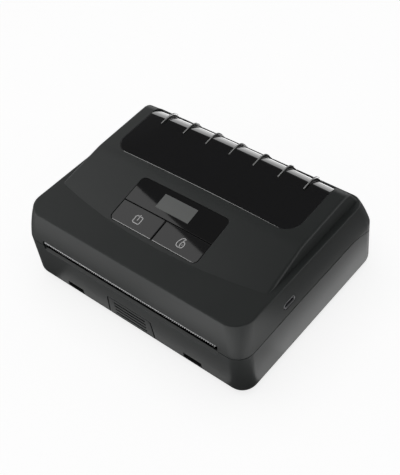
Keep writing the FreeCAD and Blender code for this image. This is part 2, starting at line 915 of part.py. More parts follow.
def motor_pinion():
    shaft = rod_x(pinion_centre[0], pinion_centre[1], motor_shaft_radius, cheek_inner - motor_length + 2.5,
                  gear_end + 1)
    wheel = gear_x(pinion_teeth, pinion_centre, pinion_phase, gear_start, gear_end, motor_shaft_radius)
    return shaft.fuse(wheel)


def idler_gear():
    wheel = gear_x(idler_teeth, idler_centre, idler_phase, gear_start, gear_end, stud_radius + running_gap)
    return wheel.cut(gear_recess(idler_centre, idler_teeth, stud_radius))


def idler_stud():
    y, z = idler_centre
    stud = rod_x(y, z, stud_radius, cheek_inner, gear_end + 1.2)
    collar = rod_x(y, z, stud_radius + 1.0, cheek_inner + cheek_thickness, gear_start - 0.2)
    clip = rod_x(y, z, stud_radius + 1.2, gear_end + 0.3, gear_end + 0.9)
    return fused([stud, collar, clip])


def platen_shaft():
    return rod_x(platen_y, platen_z, platen_shaft_radius, -cheek_inner - 5.5, gear_end + 1)


def platen_rubber():
    sleeve = rod_x(platen_y, platen_z, platen_radius, -platen_half, platen_half)
    return sleeve.cut(rod_x(platen_y, platen_z, platen_shaft_radius, -platen_half, platen_half))


def platen_gear():
    wheel = gear_x(platen_teeth, platen_centre, math.radians(idler_angle), gear_start, gear_end,
                   platen_shaft_radius)
    return wheel.cut(gear_recess(platen_centre, platen_teeth, platen_shaft_radius))


def platen_clip():
    y, z = platen_centre
    outer = -cheek_inner - cheek_thickness - 2.2
    clip = rod_x(y, z, platen_shaft_radius + 1.6, outer - 0.6, outer)
    return clip.cut(rod_x(y, z, platen_shaft_radius, outer - 1, outer + 1))


def platen_bushes():
    body = rod_x(platen_y, platen_z, bush_radius, cheek_inner, cheek_inner + cheek_thickness + 1.0)
    flange = rod_x(platen_y, platen_z, bush_flange, cheek_inner - 1.4, cheek_inner)
    bore = rod_x(platen_y, platen_z, platen_shaft_radius + running_gap, cheek_inner - 3, cheek_inner + 5)
    bush = fused([body, flange]).cut(bore)
    return Part.makeCompound([bush, mirrored(bush)])


# Latch and hinge
def latch_shaft():
    end = hook_inner + hook_thickness + 1.2
    return rod_x(latch_y, latch_z, latch_radius, -end, end)


def latch_tab():
    face = tab_plan(0, tab_height)
    plate = face.extrude(point(0, wall + bottom_round * 0.75, 0))
    plate = plate.common(lower_block(0).cut(lower_block(wall * 0.92)))
    web = box(-tab_sleeve, tab_sleeve, inner_front - 0.4, latch_y, latch_z - 2.2, latch_z + 1.8)
    sleeve = rod_x(latch_y, latch_z, latch_radius + 1.5, -tab_sleeve, tab_sleeve)
    tab = fused([plate, web, sleeve])
    tab = tab.cut(rod_x(latch_y, latch_z, latch_radius, -tab_sleeve, tab_sleeve))
    grooves = []
    for i in range(tab_rib_count):
        z = tab_rib_low + i * tab_rib_pitch
        groove = box(-tab_rib_half, tab_rib_half, front_y - 1, front_y + tab_groove_depth, z, z + tab_groove)
        grooves.append(groove)
    return tab.cut(grooves)


def latch_hooks():
    back = catch_y - catch_radius - clearance
    arm_back = back - hook_nose
    arm_front = arm_back - hook_arm
    top = hook_height
    points = [(latch_y - 3.0, latch_z - 3.0), (latch_y + 3.0, latch_z - 3.0), (latch_y + 3.0, latch_z + 3.0),
              (arm_back, latch_z + 6.0), (arm_back, catch_z + catch_radius - 1.4),
              (back, catch_z + catch_radius - 0.4), (arm_back + 0.6, top), (arm_front, top),
              (arm_front, latch_z + 6.0), (latch_y - 3.0, latch_z + 3.0)]
    hook = side_prism(points, [0] * len(points), hook_inner, hook_inner + hook_thickness)
    hook = hook.cut(rod_x(latch_y, latch_z, latch_radius, hook_inner - 1, hook_inner + 3))
    return Part.makeCompound([hook, mirrored(hook)])


def latch_spring():
    spring = coil(latch_radius + 1.0, spring_wire * 2.6, 6, spring_wire)
    spring.rotate(point(0, 0, 0), point(0, 1, 0), 90)
    spring.translate(point(latch_spring_x, latch_y, latch_z))
    return spring


def hinge_pins():
    pin = rod_x(hinge_y, hinge_z, hinge_pin_radius, ear_starts[0], ear_starts[1] + ear_width)
    return Part.makeCompound([pin, mirrored(pin)])


# Cover
def upper_casing():
    outer = upper_block(0)
    top = [e for e in outer.Edges if e.BoundBox.ZMin > shoulder_height - 0.01]
    outer = outer.makeFillet(shoulder_round, top)
    shell = outer.cut(upper_block(wall))
    hinge_half = half_width - rear_corner * (1 - hinge_reach) - clearance
    bead = rod_x(hinge_y, hinge_z, bead_radius, -hinge_half, hinge_half)
    shell = shell.cut(below_seam(seam_gap))
    bead = bead.common(lower_block(0))
    high = hinge_z + bead_radius * 2
    bead_web = box(-hinge_half, hinge_half, hinge_y - bead_radius, rear_y, hinge_z, high)
    bead_web = bead_web.common(outer).cut(below_seam(seam_gap))
    adds = [bead, bead_web.cut(upper_block(wall))]
    # roof plate over the tear blade, carriers for the head bracket and the board, catch bosses
    roof_rear = front_y + blade_depth + 1.0
    adds.append(box(-slot_half, slot_half, inner_front, roof_rear, slot_roof, slot_roof + wall))
    adds.append(box(-slot_half, slot_half, inner_front + front_lean / 2, inner_front + front_lean + 1.0,
                    slot_roof, shoulder_height - wall))
    for x in (-bracket_post_x, 0.0, bracket_post_x):
        adds.append(box(x - bracket_post_half, x + bracket_post_half, platen_y - bracket_post_half / 2,
                        platen_y + 5.5, bracket_top, shoulder_height - wall / 2))
    for x in (-board_post_x, board_post_x):
        adds.append(rod_z(x, board_front + board_post_inset, post_radius, board_z + board_thickness,
                          shoulder_height - wall / 2))
    # walls that close the ends of the label slot
    end_wall = box(slot_half - 1.6, slot_half - 0.4, front_y + blade_depth + clearance, platen_y + 8.0,
                   seam_side + seam_gap, shoulder_height - wall / 2)
    adds += [end_wall, mirrored(end_wall)]
    boss_end = half_width - wall / 2 - 0.4
    boss = rod_x(catch_y, catch_z, catch_radius + 1.6, hook_inner + hook_thickness + 1.2, boss_end)
    boss = boss.cut(below_seam(seam_gap))
    adds += [boss, mirrored(boss)]
    shell = fused([shell] + adds)
    cuts = [hood_opening()]
    slot_side = slot_half + clearance
    cuts.append(box(-slot_side, slot_side, front_y - 1, inner_front + front_lean, 0, slot_roof))
    for start in ear_starts:
        gap = rod_x(hinge_y, hinge_z, groove_radius, start - clearance, start + ear_width + clearance)
        gap = gap.fuse(box(start - clearance, start + ear_width + clearance, hinge_y, rear_y + 1,
                           hinge_z - groove_radius, hinge_z + groove_radius * 0.6))
        cuts += [gap, mirrored(gap)]
    bore = rod_x(hinge_y, hinge_z, hinge_pin_radius + running_gap, ear_starts[0], ear_starts[1] + ear_width)
    cuts += [bore, mirrored(bore)]
    catch = rod_x(catch_y, catch_z, catch_radius, 0, boss_end - 1.0)
    cuts += [catch, mirrored(catch)]
    cuts.append(usb_opening())
    for x, y in blade_screw_places():
        cuts.append(rod_z(x, y, blade_screw_radius, slot_roof - 1, slot_roof + 2.0))
    for x, y in hood_screw_places():
        cuts.append(rod_z(x, y, screw_radius, shoulder_height - wall - 1, shoulder_height + 1))
    return shell.cut(cuts)


def hood_opening():
    half = window_half + 2.3
    low = shoulder_height - wall - 1
    high = shoulder_height + 1
    points = rectangle(-half, half, hood_front_y + 9.0, front_y + hood_rear - hood_ledge)
    whole = plan_prism(points, [4.0] * 4, low, high)
    panel_side = panel_half + panel_overlap + clearance
    front = hood_front_y + panel_front - panel_gap - clearance * 2
    return whole.fuse(box(-panel_side, panel_side, front, hood_front_y + 12.0, low, high))


def hood_screw_places():
    x = hood_half - hood_wall - screw_head_radius + 0.4
    return [(side * x, y) for y in (hood_screw_front, hood_screw_rear) for side in (-1, 1)]


def hood():
    above = box(-half_width, half_width, front_y, rear_y, shoulder_height, shoulder_height + hood_rise * 2)
    solid = hood_block(0).common(hood_sides(0, shoulder_height - 5)).common(above)
    long_edges = [e for e in solid.Edges
                  if e.BoundBox.ZMin > shoulder_height + 0.5 and abs(e.BoundBox.Center.x) > half_width * 0.85
                  and e.BoundBox.YLength > 1.0]
    solid = solid.makeFillet(hood_edge_round, long_edges)
    inner = hood_block(hood_wall).common(hood_sides(hood_wall, shoulder_height - 5))
    shell = solid.cut(inner)
    hollow = window_block(window_wall + 1.4)
    rim = window_plan(2.0).cut(window_plan(window_gap)).common(solid).cut(hollow)
    ledge = window_plan(0.4).cut(window_plan(-hood_ledge))
    ledge_rear = front_y + window_rear - hood_ledge * 2
    high = shoulder_height + hood_rise
    ledge_zone = box(-half_width, half_width, front_y, ledge_rear, shoulder_height, high)
    ledge = ledge.common(window_block(window_wall)).cut(hollow).common(ledge_zone)
    posts = []
    for x in (-board_post_x, board_post_x):
        post = rod_z(x, board_rear - board_post_inset, post_radius, board_z + board_thickness, high)
        posts.append(post.common(hood_block(hood_wall / 2)))
    screw_holes = []
    for x, y in hood_screw_places():
        posts.append(rod_z(x, y, post_radius - 0.4, shoulder_height, shoulder_height + 4.0))
        screw_end = shoulder_height + screw_head_height * 2
        screw_holes.append(rod_z(x, y, screw_radius, shoulder_height - 1, screw_end))
    shell = shell.cut(window_plan(window_gap))
    shell = fused([shell, rim, ledge] + posts)
    opening = slope_prism(-panel_half - panel_gap, panel_half + panel_gap, panel_front - panel_gap,
                          panel_rear + panel_gap, panel_radii(panel_gap), 3, -4)
    return shell.cut([opening] + screw_holes)


def panel_radii(grow):
    front = panel_front_round + grow
    rear = panel_rear_round + grow
    return [front, front, rear, rear]


def paper_window():
    plan = window_plan(0)
    shell = window_block(0).cut(window_block(window_wall)).common(plan)
    top_climb = math.tan(math.radians(hood_top_slope))
    lines = hood_lines()
    bend = lines[3]
    start_y = front_y + fin_start
    start_z = bend[1] + (start_y - bend[0]) * top_climb
    outer = moved_in(lines, [0, -fin_proud, -fin_proud, 0])
    lead_y = start_y + fin_lead
    lead_z = bend[1] + (lead_y - bend[0]) * top_climb + fin_proud
    fin_points = [(start_y, seam_side), outer[1], outer[2], (lead_y, lead_z), (start_y, start_z - 0.05)]
    fin_shape = crowned(fin_points, [0, 0, hood_rear_round, 3.0, 0])
    fin_shape = fin_shape.cut(window_block(window_wall / 2)).common(plan)
    low = box(-half_width, half_width, front_y, rear_y, shoulder_height + window_gap, shoulder_height + 30)
    pieces = [shell]
    for i in range(fin_count):
        x = (i - (fin_count - 1) / 2) * fin_pitch
        slab = box(x - fin_width / 2, x + fin_width / 2, 0, rear_y, shoulder_height, shoulder_height + 30)
        pieces.append(fin_shape.common(slab))
    return fused(pieces).common(low)


def key(x0, x1, radii):
    cap = slope_prism(x0, x1, panel_front, panel_split - lens_gap, radii, 3, -key_cap - 2)
    cap = cap.common(hood_block(key_sink).cut(hood_block(key_cap)))
    middle = (x0 + x1) / 2
    plunger = slope_box(middle - plunger_half, middle + plunger_half, panel_front + 4, panel_split - 4.5,
                        -key_cap + 0.3, -switch_drop + key_travel + 0.2)
    return fused([cap, plunger])


def power_key():
    return key(-panel_half, -key_gap / 2, [panel_front_round, 0, 0, 0])


def feed_key():
    return key(key_gap / 2, panel_half, [0, panel_front_round, 0, 0])


def display_lens():
    radii = [0, 0, panel_rear_round, panel_rear_round]
    plate = slope_prism(-panel_half, panel_half, panel_split, panel_rear, radii, 3, -lens_thickness - 2)
    return plate.common(hood_block(key_sink).cut(hood_block(lens_thickness)))


def panel_frame():
    half = panel_half + panel_overlap
    body = slope_prism(-half, half, panel_front, panel_rear + panel_overlap, [1.0] * 4, 3, -8)
    body = body.common(hood_block(hood_wall).cut(hood_block(hood_wall + 1.5)))
    seat = slope_prism(-panel_half + 0.5, panel_half - 0.5, panel_split + 0.5, panel_rear - 0.5,
                       [0, 0, 2.0, 2.0], 3, -8)
    seat = seat.common(hood_block(lens_thickness).cut(hood_block(hood_wall + 0.5)))
    half = frame_post_half
    posts = [slope_box(x - half, x + half, s - half, s + half, -hood_wall - 0.8, -key_board_drop)
             for x in (-frame_post_x, frame_post_x) for s in (panel_front + half + 0.6, panel_rear - 1.0)]
    frame = fused([body, seat] + posts)
    cuts = [slope_box(x0 + 1.2, x1 - 1.2, panel_front + 1.5, panel_split - 1.8, 4, -12)
            for x0, x1 in ((-panel_half, 0), (0, panel_half))]
    half = display_half + 3.2
    cuts.append(slope_box(-half, half, display_front - 2.2, display_rear + 2.0, 4, -12))
    return frame.cut(cuts)


def key_board():
    top = key_board_drop
    return slope_prism(-panel_half - 2.5, panel_half + 2.5, panel_front + 0.3, panel_rear + 1.2, [1.0] * 4,
                       -top, -top - key_board_thickness)


def lcd_module():
    half = display_half + 2.6
    return slope_box(-half, half, display_front - 1.6, display_rear + 1.4, -2.6, -key_board_drop)


def tact_switches():
    switches = []
    top = key_board_drop
    for x in (-panel_half / 2, panel_half / 2):
        s = (panel_front + panel_split) / 2
        can = slope_box(x - switch_half, x + switch_half, s - switch_half, s + switch_half,
                        -top + switch_height, -top)
        stem = on_slope(rod_z(x, s, switch_stem, -top + switch_height / 2, -switch_drop))
        switches.append(can.fuse(stem))
    return Part.makeCompound(switches)


def main_board():
    points = rectangle(board_left, board_right, board_front, board_rear)
    return plan_prism(points, [1.5] * 4, board_z, board_z + board_thickness)


def board_parts():
    top = board_z + board_thickness
    return Part.makeCompound([box(x, x + w, y, y + d, top, top + h) for x, y, w, d, h in chips])


def usb_stadium(grow, x0, x1):
    half = usb_width / 2 + grow
    tall = usb_height / 2 + grow
    z = board_z - usb_height / 2
    points = rectangle(usb_y - half, usb_y + half, z - tall, z + tall)
    return side_prism(points, [tall - 0.01] * 4, x0, x1)


def usb_opening():
    return usb_stadium(usb_opening_gap, half_width - wall - side_lean - 1, half_width + 1)


def usb_receptacle():
    end = half_width - 1.5
    start = end - usb_length
    shell = usb_stadium(0, start, end).cut(usb_stadium(-usb_wall, start + 1.0, end + 1))
    z = board_z - usb_height / 2
    tongue = box(start + 0.5, end - 1.0, usb_y - usb_tongue_half, usb_y + usb_tongue_half,
                 z - usb_tongue / 2, z + usb_tongue / 2)
    return shell.fuse(tongue)


def board_tray():
    low = tray_floor_z
    high = shoulder_height + hood_rise
    half = half_width - wall - side_lean - 1.2
    back_y = board_rear + 2.4
    floor = box(-half, half, board_front, back_y, low, low + tray_floor_wall)
    # the back wall leans to the rear, to follow the roll
    lean = [(back_y - tray_floor_wall, low), (back_y, low), (back_y + back_lean, high),
            (back_y + back_lean - tray_floor_wall, high)]
    back = side_prism(lean, [0] * len(lean), -window_half - 2, window_half + 2)
    back = back.common(hood_block(hood_wall + 0.1))
    posts = [rod_z(x, y, post_radius, low, board_z)
             for x in (-board_post_x, board_post_x)
             for y in (board_front + board_post_inset, board_rear - board_post_inset)]
    return fused([floor, back] + posts)


def cover_screws():
    heads = []
    for x, y in hood_screw_places():
        heads.append(screw(x, y, shoulder_height - wall, screw_head_height * 2 + wall, True))
    return Part.makeCompound(heads)


# Print head
def head_bottom():
    return platen_z + platen_radius + paper_gap


def print_head():
    low = head_bottom()
    half = platen_half + head_margin
    return box(-half, half, platen_y - head_front, platen_y + head_rear, low, low + head_thickness)


def head_heatsink():
    low = head_bottom() + head_thickness
    high = low + heatsink_height
    half = platen_half + head_margin + 1.0
    body = box(-half, half, platen_y - head_front + 0.2, platen_y + head_rear + head_margin, low, high)
    grooves = []
    for i in range(3):
        y = platen_y + 1.0 + i * heatsink_pitch
        floor = low + heatsink_height / 2
        grooves.append(box(-platen_half, platen_half, y, y + heatsink_groove, floor, high))
    return body.cut(grooves)


def head_bracket():
    low = head_bottom() + head_thickness + 0.2
    near = platen_half + head_margin + 1.0 + clearance
    far = near + bracket_thickness
    front = platen_y - head_front - 0.2
    rear = platen_y + bracket_rear
    plate = box(-far, far, front, rear, bracket_top - bracket_thickness, bracket_top)
    end = box(near, far, front, rear, low, bracket_top)
    return fused([plate, end, mirrored(end)])


def head_springs():
    low = head_bottom() + head_thickness + heatsink_height
    high = bracket_top - bracket_thickness
    pitch = (high - low - 2 * spring_wire) / head_spring_turns
    springs = []
    for x in (-head_spring_x, 0.0, head_spring_x):
        spring = coil(head_spring_radius, pitch, head_spring_turns, spring_wire)
        spring.translate(point(x, platen_y - 0.4, low + spring_wire))
        springs.append(spring)
    return Part.makeCompound(springs)


def tear_blade():
    z0 = slot_roof - blade_thickness
    tip = front_y + blade_tip
    count = int(2 * (slot_half - 1.0) / blade_pitch)
    half = count * blade_pitch / 2
    points = []
    for i in range(count):
        x = -half + i * blade_pitch
        points += [(x, tip + blade_tooth), (x + blade_pitch / 2, tip)]
    points += [(half, tip + blade_tooth), (half, front_y + blade_depth), (-half, front_y + blade_depth)]
    ring = [point(x, y, z0) for x, y in points]
    blade = Part.Face(Part.makePolygon(ring + ring[:1])).extrude(point(0, 0, blade_thickness))
    for x, y in blade_screw_places():
        blade = blade.cut(rod_z(x, y, blade_screw_radius, z0 - 1, slot_roof + 1))
    return blade


def blade_screw_places():
    y = front_y + blade_depth - blade_screw_y
    return [(x, y) for x in (-blade_screw_x, 0.0, blade_screw_x)]


def blade_screws():
    z0 = slot_roof - blade_thickness
    parts = []
    for x, y in blade_screw_places():
        shank = rod_z(x, y, blade_screw_radius, z0, slot_roof + 2.0)
        parts.append(shank.fuse(rod_z(x, y, blade_screw_head, z0 - blade_screw_radius, z0)))
    return Part.makeCompound(parts)


def catch_pins():
    boss_end = half_width - wall / 2 - 0.4
    pin = rod_x(catch_y, catch_z, catch_radius, hook_inner - 0.6, boss_end - 1.0)
    return Part.makeCompound([pin, mirrored(pin)])


def left_cheek():
    return mirrored(cheek())


def left_guide():
    return roll_guide(-1)


def right_guide():
    return roll_guide(1)


nodes = [
    lower_casing, media_tray, left_cheek, right_cheek, platen_bushes, stepper_motor, motor_screws,
    idler_stud, battery_pack, battery_contacts, battery_door, battery_door_screws, rubber_feet,
    casing_screws, hinge_pins, latch_spring, rack_cover, label_sensor, platen_shaft, platen_rubber,
    platen_gear, platen_clip, idler_gear, motor_pinion, latch_shaft, latch_tab, latch_hooks, left_guide,
    right_guide, guide_pinion, upper_casing, hood, paper_window, power_key, feed_key, display_lens,
    panel_frame, key_board, lcd_module, tact_switches, main_board, board_parts, usb_receptacle,
    board_tray, cover_screws, print_head, head_heatsink, head_bracket, head_springs, tear_blade,
    blade_screws, catch_pins,
]

os.makedirs("parts", exist_ok=True)
for make in nodes:
    shape = make()
    shape.translate(point(0, 0, foot_height))
    shape.exportStep("parts/" + make.__name__ + ".step")
    print(make.__name__, len(shape.Solids), "solid", round(shape.Volume, 1), "valid", shape.isValid())
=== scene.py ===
import math

import bmesh
import bpy
from mathutils import Matrix, Vector
from mathutils.bvhtree import BVHTree


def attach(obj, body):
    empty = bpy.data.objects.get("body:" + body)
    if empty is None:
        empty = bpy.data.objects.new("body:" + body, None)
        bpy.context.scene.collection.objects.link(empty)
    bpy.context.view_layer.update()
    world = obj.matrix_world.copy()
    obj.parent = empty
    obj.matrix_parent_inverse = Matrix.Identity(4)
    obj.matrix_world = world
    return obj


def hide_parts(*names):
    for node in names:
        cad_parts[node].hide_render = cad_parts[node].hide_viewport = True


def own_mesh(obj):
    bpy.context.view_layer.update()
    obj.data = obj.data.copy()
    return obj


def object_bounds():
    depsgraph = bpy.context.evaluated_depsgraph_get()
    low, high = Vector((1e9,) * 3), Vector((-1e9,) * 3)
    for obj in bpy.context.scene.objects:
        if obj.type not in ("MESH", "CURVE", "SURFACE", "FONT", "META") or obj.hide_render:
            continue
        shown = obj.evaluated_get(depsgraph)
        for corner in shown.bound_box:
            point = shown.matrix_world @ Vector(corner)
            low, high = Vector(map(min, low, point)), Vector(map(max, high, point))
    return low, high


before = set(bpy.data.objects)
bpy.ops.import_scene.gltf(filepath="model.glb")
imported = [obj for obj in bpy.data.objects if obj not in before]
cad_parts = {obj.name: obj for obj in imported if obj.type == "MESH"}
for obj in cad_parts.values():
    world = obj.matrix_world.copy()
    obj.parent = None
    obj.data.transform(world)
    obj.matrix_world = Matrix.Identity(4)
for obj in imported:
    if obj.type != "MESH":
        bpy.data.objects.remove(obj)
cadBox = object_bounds()
mm = 0.001
print("frame loaded:", len(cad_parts), "nodes")

# The part's own sizes, in millimetres, as the solids have them. Heights are over the table.
printer = {"shoulderZ": 51.4, "hoodFrontY": -38.2, "slope": 12.4, "crown": 1500.0, "keySink": 0.1,
           "displayHalf": 11.7, "displayFront": 20.8, "displayRear": 30.5}


def panelPoint(x, run, lift):
    # a point of the sloping key panel: run goes up the slope, lift stands over the surface
    slope = math.radians(printer["slope"])
    drop = x * x / (2 * printer["crown"])
    y = printer["hoodFrontY"] + run * math.cos(slope) - lift * math.sin(slope)
    z = printer["shoulderZ"] + run * math.sin(slope) + lift * math.cos(slope) - drop
    return Vector((x, y, z)) * mm


def addObject(name, data):
    item = bpy.data.objects.new(name, data)
    bpy.context.scene.collection.objects.link(item)
    return item


def paintedCopy(name, node, look):
    # a copy of a CAD node's mesh under a new name, with one look
    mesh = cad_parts[node].data.copy()
    mesh.name = name
    mesh.materials.clear()
    mesh.materials.append(looks[look])
    return mesh


def finishPiece(piece, body):
    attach(piece, body)


# Camera: place and near limit in metres, lens and sensor in millimetres
camera = {"place": (0.2519, -0.2385, 0.3823), "right": (0.7629, 0.6371, -0.1102),
          "up": (-0.4061, 0.6047, 0.6851), "lens": 65.82, "sensor": 36.0, "near": 0.02}


def setCamera():
    data = bpy.data.cameras.new("photoCamera")
    data.lens = camera["lens"]
    data.sensor_width = camera["sensor"]
    data.clip_start = camera["near"]
    item = addObject("photoCamera", data)
    right = Vector(camera["right"]).normalized()
    up = Vector(camera["up"]).normalized()
    turn = Matrix((right, up, right.cross(up))).transposed()
    item.matrix_world = Matrix.Translation(camera["place"]) @ turn.to_4x4()
    bpy.context.scene.camera = item


# Shader helpers
def newMaterial(name):
    material = bpy.data.materials.new(name)
    material.use_nodes = True
    tree = material.node_tree
    shader = next(n for n in tree.nodes if n.type == "BSDF_PRINCIPLED")
    return material, tree, shader


def addNode(tree, kind, **values):
    node = tree.nodes.new(kind)
    for key, value in values.items():
        setattr(node, key, value)
    return node


def setInputs(node, **values):
    for key, value in values.items():
        node.inputs[key.replace("_", " ")].default_value = value


def groupSockets(group, inputs, outputs):
    for name, kind, value in inputs:
        socket = group.interface.new_socket(name, in_out="INPUT", socket_type=kind)
        socket.default_value = value
    for name, kind in outputs:
        group.interface.new_socket(name, in_out="OUTPUT", socket_type=kind)


# How the shared textures act: scale of the slow variation, strength of each bump, change of the sheen
texture = {"broadScale": 38.0, "grainBump": 0.6, "grainSheen": 0.2, "brushBump": 0.3, "brushDepth": 0.01,
           "brushSheen": 0.15, "glossGrain": 6.0, "glossChange": 0.1, "glossSheen": 0.02}


def makeGrainGroup():
    # the fine spark-eroded grain of moulded plastic, with slow variation of its sheen and colour
    group = bpy.data.node_groups.new("mouldedGrain", "ShaderNodeTree")
    groupSockets(group,
                 [("Grain Size", "NodeSocketFloat", 0.4), ("Color", "NodeSocketColor", (0.05, 0.05, 0.05, 1)),
                  ("Color Change", "NodeSocketFloat", 0.04), ("Roughness", "NodeSocketFloat", 0.4),
                  ("Roughness Change", "NodeSocketFloat", 0.05)],
                 [("Color", "NodeSocketColor"), ("Roughness", "NodeSocketFloat"), ("Height", "NodeSocketFloat")])
    entry = addNode(group, "NodeGroupInput")
    leave = addNode(group, "NodeGroupOutput")
    place = addNode(group, "ShaderNodeTexCoord")
    scale = addNode(group, "ShaderNodeMath", operation="DIVIDE")
    scale.inputs[0].default_value = 1000.0
    group.links.new(entry.outputs["Grain Size"], scale.inputs[1])
    fine = addNode(group, "ShaderNodeTexNoise")
    setInputs(fine, Detail=2.0, Roughness=0.6)
    group.links.new(place.outputs["Object"], fine.inputs["Vector"])
    group.links.new(scale.outputs[0], fine.inputs["Scale"])
    broad = addNode(group, "ShaderNodeTexNoise")
    setInputs(broad, Scale=texture["broadScale"], Detail=3.0, Roughness=0.5)
    group.links.new(place.outputs["Object"], broad.inputs["Vector"])
    centred = addNode(group, "ShaderNodeMath", operation="SUBTRACT")
    centred.inputs[1].default_value = 0.5
    group.links.new(broad.outputs["Fac"], centred.inputs[0])
    sheen = addNode(group, "ShaderNodeMath", operation="MULTIPLY_ADD")
    group.links.new(centred.outputs[0], sheen.inputs[0])
    group.links.new(entry.outputs["Roughness Change"], sheen.inputs[1])
    group.links.new(entry.outputs["Roughness"], sheen.inputs[2])
    shift = addNode(group, "ShaderNodeMath", operation="MULTIPLY_ADD")
    shift.inputs[2].default_value = 1.0
    group.links.new(centred.outputs[0], shift.inputs[0])
    group.links.new(entry.outputs["Color Change"], shift.inputs[1])
    tint = addNode(group, "ShaderNodeVectorMath", operation="SCALE")
    group.links.new(entry.outputs["Color"], tint.inputs[0])
    group.links.new(shift.outputs[0], tint.inputs["Scale"])
    group.links.new(tint.outputs[0], leave.inputs["Color"])
    group.links.new(sheen.outputs[0], leave.inputs["Roughness"])
    group.links.new(fine.outputs["Fac"], leave.inputs["Height"])
    return group


def makeBrushGroup():
    # fine lines along one axis, for rolled and ground steel
    group = bpy.data.node_groups.new("brushedLines", "ShaderNodeTree")
    groupSockets(group,
                 [("Stretch", "NodeSocketVector", (60.0, 1800.0, 1800.0)), ("Roughness", "NodeSocketFloat", 0.3),
                  ("Roughness Change", "NodeSocketFloat", 0.2)],
                 [("Roughness", "NodeSocketFloat"), ("Height", "NodeSocketFloat")])
    entry = addNode(group, "NodeGroupInput")
    leave = addNode(group, "NodeGroupOutput")
    place = addNode(group, "ShaderNodeTexCoord")
    stretch = addNode(group, "ShaderNodeVectorMath", operation="MULTIPLY")
    group.links.new(place.outputs["Object"], stretch.inputs[0])
    group.links.new(entry.outputs["Stretch"], stretch.inputs[1])
    lines = addNode(group, "ShaderNodeTexNoise")
    setInputs(lines, Scale=1.0, Detail=3.0)
    group.links.new(stretch.outputs[0], lines.inputs["Vector"])
    centred = addNode(group, "ShaderNodeMath", operation="SUBTRACT")
    centred.inputs[1].default_value = 0.5
    group.links.new(lines.outputs["Fac"], centred.inputs[0])
    sheen = addNode(group, "ShaderNodeMath", operation="MULTIPLY_ADD")
    group.links.new(centred.outputs[0], sheen.inputs[0])
    group.links.new(entry.outputs["Roughness Change"], sheen.inputs[1])
    group.links.new(entry.outputs["Roughness"], sheen.inputs[2])
    group.links.new(sheen.outputs[0], leave.inputs["Roughness"])
    group.links.new(lines.outputs["Fac"], leave.inputs["Height"])
    return group


grainGroup = makeGrainGroup()
brushGroup = makeBrushGroup()

# Plastics: color, roughness, grain size in millimetres, depth of the grain, colour and sheen variation
plastics = {
    "casing": {"color": (0.0208, 0.0238, 0.0231), "roughness": 0.42, "grain": 0.35, "depth": 0.012, "change": 0.06},
    "tab": {"color": (0.0228, 0.0256, 0.025), "roughness": 0.45, "grain": 0.35, "depth": 0.012, "change": 0.06},
    "keyCap": {"color": (0.012, 0.012, 0.0125), "roughness": 0.035, "grain": 0.3, "depth": 0.0004, "change": 0.04},
    "print": {"color": (0.72, 0.72, 0.72), "roughness": 0.5, "grain": 0.2, "depth": 0.002, "change": 0.05},
    # pale colour of the fin crests: a painted highlight, not the plastic's own colour
    "paintedCrestHighlight": {"color": (0.34, 0.344, 0.34), "roughness": 0.25, "grain": 0.4, "depth": 0.002, "change": 0.1},
    "inner": {"color": (0.018, 0.018, 0.019), "roughness": 0.55, "grain": 0.5, "depth": 0.02, "change": 0.1},
    "guide": {"color": (0.09, 0.09, 0.095), "roughness": 0.5, "grain": 0.4, "depth": 0.015, "change": 0.08},
    "gear": {"color": (0.62, 0.6, 0.54), "roughness": 0.38, "grain": 0.6, "depth": 0.005, "change": 0.05},
    "board": {"color": (0.015, 0.09, 0.04), "roughness": 0.3, "grain": 0.8, "depth": 0.01, "change": 0.25},
    "chip": {"color": (0.014, 0.014, 0.015), "roughness": 0.5, "grain": 0.25, "depth": 0.015, "change": 0.1},
    "battery": {"color": (0.02, 0.035, 0.09), "roughness": 0.35, "grain": 2.5, "depth": 0.04, "change": 0.15},
    "ceramic": {"color": (0.5, 0.48, 0.42), "roughness": 0.15, "grain": 0.8, "depth": 0.002, "change": 0.05},
    "platenRubber": {"color": (0.02, 0.02, 0.02), "roughness": 0.7, "grain": 0.3, "depth": 0.02, "change": 0.1},
    "footRubber": {"color": (0.014, 0.014, 0.014), "roughness": 0.8, "grain": 0.4, "depth": 0.04, "change": 0.1},
}

# Metals: color, roughness and the stretch of the brushed lines
metals = {
    "steel": {"color": (0.56, 0.56, 0.57), "roughness": 0.32, "stretch": (60.0, 1800.0, 1800.0)},
    "blade": {"color": (0.85, 0.85, 0.86), "roughness": 0.35, "metal": 0.35, "stretch": (2400.0, 90.0, 900.0)},
    "screw": {"color": (0.25, 0.25, 0.26), "roughness": 0.35, "stretch": (700.0, 700.0, 90.0)},
    "brass": {"color": (0.7, 0.55, 0.25), "roughness": 0.3, "stretch": (300.0, 900.0, 900.0)},
    "aluminium": {"color": (0.68, 0.69, 0.7), "roughness": 0.35, "stretch": (40.0, 1500.0, 1500.0)},
    "port": {"color": (0.5, 0.5, 0.51), "roughness": 0.22, "stretch": (300.0, 1800.0, 1800.0)},
}


def plasticLook(name):
    look = plastics[name]
    material, tree, shader = newMaterial(name)
    grain = addNode(tree, "ShaderNodeGroup", node_tree=grainGroup)
    setInputs(grain, Grain_Size=look["grain"], Color=(*look["color"], 1), Color_Change=look["change"],
              Roughness=look["roughness"], Roughness_Change=texture["grainSheen"] * look["roughness"])
    bump = addNode(tree, "ShaderNodeBump")
    setInputs(bump, Strength=texture["grainBump"], Distance=look["depth"] * mm)
    tree.links.new(grain.outputs["Height"], bump.inputs["Height"])
    tree.links.new(grain.outputs["Color"], shader.inputs["Base Color"])
    tree.links.new(grain.outputs["Roughness"], shader.inputs["Roughness"])
    tree.links.new(bump.outputs["Normal"], shader.inputs["Normal"])
    return material


